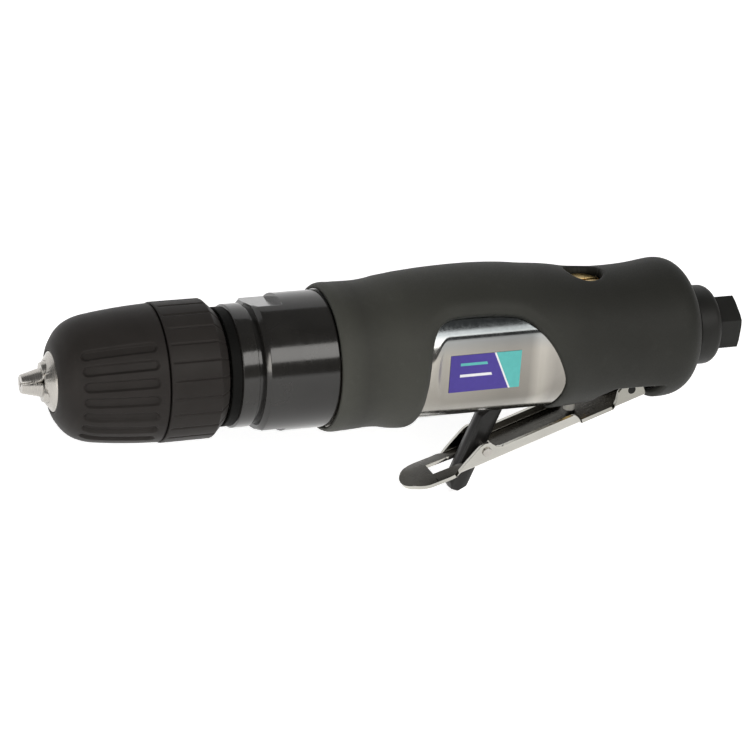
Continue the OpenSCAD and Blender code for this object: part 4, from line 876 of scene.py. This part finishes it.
def build_collar():
    chamfer, seam, bore_gap, mesh_step = 3.3, 0.4, 0.03, 0.5
    grooves, groove_half, groove_depth, fade_from, fade_to = 24, 0.28, 0.34, 0.9, 1.9
    inner, front, bore = COLLAR_INNER_AT - LENGTH, SEAM_X + seam, CHUCK_BODY_R + bore_gap
    pts = [(COLLAR_BACK, bore), (COLLAR_BACK, CHUCK_R - chamfer), (COLLAR_BACK - chamfer, CHUCK_R),
           (front, CHUCK_R), (front, SHELL_BORE), (inner, SHELL_BORE), (inner, bore)]
    outline = densify(fillet(pts, [0, 0.5, 0.7, 0.5, 0, 0, 0]), mesh_step)

    def push(X, A, R):
        outside = R > CHUCK_R - chamfer + 0.1
        off = (A + math.pi / grooves) % (2 * math.pi / grooves) - math.pi / grooves
        groove = np.exp(-(off * R / groove_half)**2)
        fade = smoothstep(SEAM_X + fade_from, SEAM_X + fade_to, X)
        return np.where(outside, R - groove_depth * groove * fade, R)

    return sharpen(revolve("chuck_collar_moulded", outline, 960, push), 40)


place(build_sleeve(), "sleeve_body", "chuck_plastic", "chuck_sleeve")
place(build_collar(), "spindle_body", "chuck_plastic", "chuck_collar")


# Valve spring: a coil round the valve's axis between its low and high ends
def build_spring():
    steps, around = 24 * SPRING_TURNS, 10
    t = np.linspace(0, 2 * math.pi * SPRING_TURNS, steps + 1)
    rise = (SPRING_HIGH - SPRING_LOW - 2 * SPRING_WIRE) / (2 * math.pi * SPRING_TURNS)
    out = np.stack([np.cos(t), np.sin(t), 0 * t], 1)
    along = np.stack([-SPRING_R * np.sin(t), SPRING_R * np.cos(t), rise + 0 * t], 1)
    up = np.cross(out, along / np.linalg.norm(along, axis=1, keepdims=True))
    a = full_turn(around)
    ring = np.cos(a)[None, :, None] * out[:, None] + np.sin(a)[None, :, None] * up[:, None]
    middle = np.stack([VALVE_X + 0 * t, 0 * t, SPRING_LOW + SPRING_WIRE + rise * t], 1)
    verts = ((SPRING_R * out + middle)[:, None] + SPRING_WIRE * ring).reshape(-1, 3)
    faces = [list(f) for f in grid_faces(steps + 1, around)]
    faces += [list(range(around)), list(range(steps * around, (steps + 1) * around))]
    return mesh_piece("valve_spring_coil", verts, faces)


spring = place(build_spring(), "body", "bright_steel", "valve_spring")
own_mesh(spring)

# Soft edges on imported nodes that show
EDGES = {
    0.15: ("chuck_body", "chuck_jaw_1", "chuck_jaw_2", "chuck_jaw_3"),
    0.35: ("inlet_bushing", "valve_plug", "exhaust_deflector"),
    0.2: ("latch_pin", "valve_plunger"),
}
for width, names in EDGES.items():
    for name in names:
        bevelled(nodes[name], width)


# Stage
def build_stage():
    floor_gap, size, bend = 1.5, 4000.0, 600.0
    floor_z = cad_box[0].z / MM - floor_gap
    pts = [(-size, floor_z)]
    pts += [(size / 2 - bend + bend * math.sin(t), floor_z + bend * (1 - math.cos(t)))
            for t in np.linspace(0, math.pi / 2, 16)]
    pts += [(size / 2, floor_z + size)]
    verts = [(x, y, z) for y, z in pts for x in (-size, size)]
    floor = mesh_piece("studio_floor", verts, grid_faces(len(pts), 2, wrap_cols=False))
    pale = surface("floor_pale", (0.9, 0.9, 0.9), 0.7, patch=3, spread=0.01, grain=60, specular=0.1)
    shader = pale.node_tree.nodes["Principled BSDF"]
    shader.inputs["Emission Color"].default_value = (1, 1, 1, 1)
    shader.inputs["Emission Strength"].default_value = 0.62
    floor.data.materials.append(pale)


def area_light(name, position, width, height, power, colour=(1, 1, 1)):
    """Rectangular light in metres and watts, turned towards the middle of the tool."""
    aim = Vector((-0.12, 0, 0))
    light = bpy.data.lights.new(name, "AREA")
    light.energy = power
    light.color = colour
    light.shape = "RECTANGLE"
    light.size = width
    light.size_y = height
    obj = bpy.data.objects.new(name, light)
    obj.location = position
    obj.rotation_euler = (aim - Vector(position)).to_track_quat("-Z", "Y").to_euler()
    bpy.context.scene.collection.objects.link(obj)


def build_world():
    world = bpy.data.worlds.new("studio")
    bpy.context.scene.world = world
    world.use_nodes = True
    background = world.node_tree.nodes["Background"]
    background.inputs["Color"].default_value = (1, 1, 1, 1)
    background.inputs["Strength"].default_value = 0.13
    bpy.context.scene.view_settings.view_transform = "Standard"


build_stage()
area_light("key", (0.15, -0.8, 0.54), 1.0, 0.4, 6.5, (1, 0.98, 0.95))
area_light("fill", (-0.9, -0.6, 0.4), 0.5, 0.5, 1.6)
area_light("top", (-0.1, 0.5, 1.5), 2.0, 2.0, 0.55)
area_light("edge", (-0.97, -0.32, 0.12), 0.16, 0.3, 1.3, (1, 0.96, 0.9))
build_world()


# Camera at the photograph's angle
def build_camera():
    azimuth, elevation, roll = math.radians(-22.4), math.radians(23.0), math.radians(3.9)
    aim, distance, drop = Vector((-0.126, 0, 0)), 0.787, 0.007
    back = Vector((math.sin(azimuth) * math.cos(elevation), -math.cos(azimuth) * math.cos(elevation),
                   math.sin(elevation)))
    right = Vector((math.cos(azimuth), math.sin(azimuth), 0))
    up = back.cross(right)
    right, up = (right * math.cos(roll) + up * math.sin(roll), up * math.cos(roll) - right * math.sin(roll))
    data = bpy.data.cameras.new("camera")
    data.lens = 120
    data.sensor_width = 36
    data.clip_end = 20
    camera = bpy.data.objects.new("camera", data)
    m = Matrix((right, up, back)).transposed().to_4x4()
    m.translation = aim + distance * back - drop * up
    camera.matrix_world = m
    bpy.context.scene.collection.objects.link(camera)
    bpy.context.scene.camera = camera


build_camera()
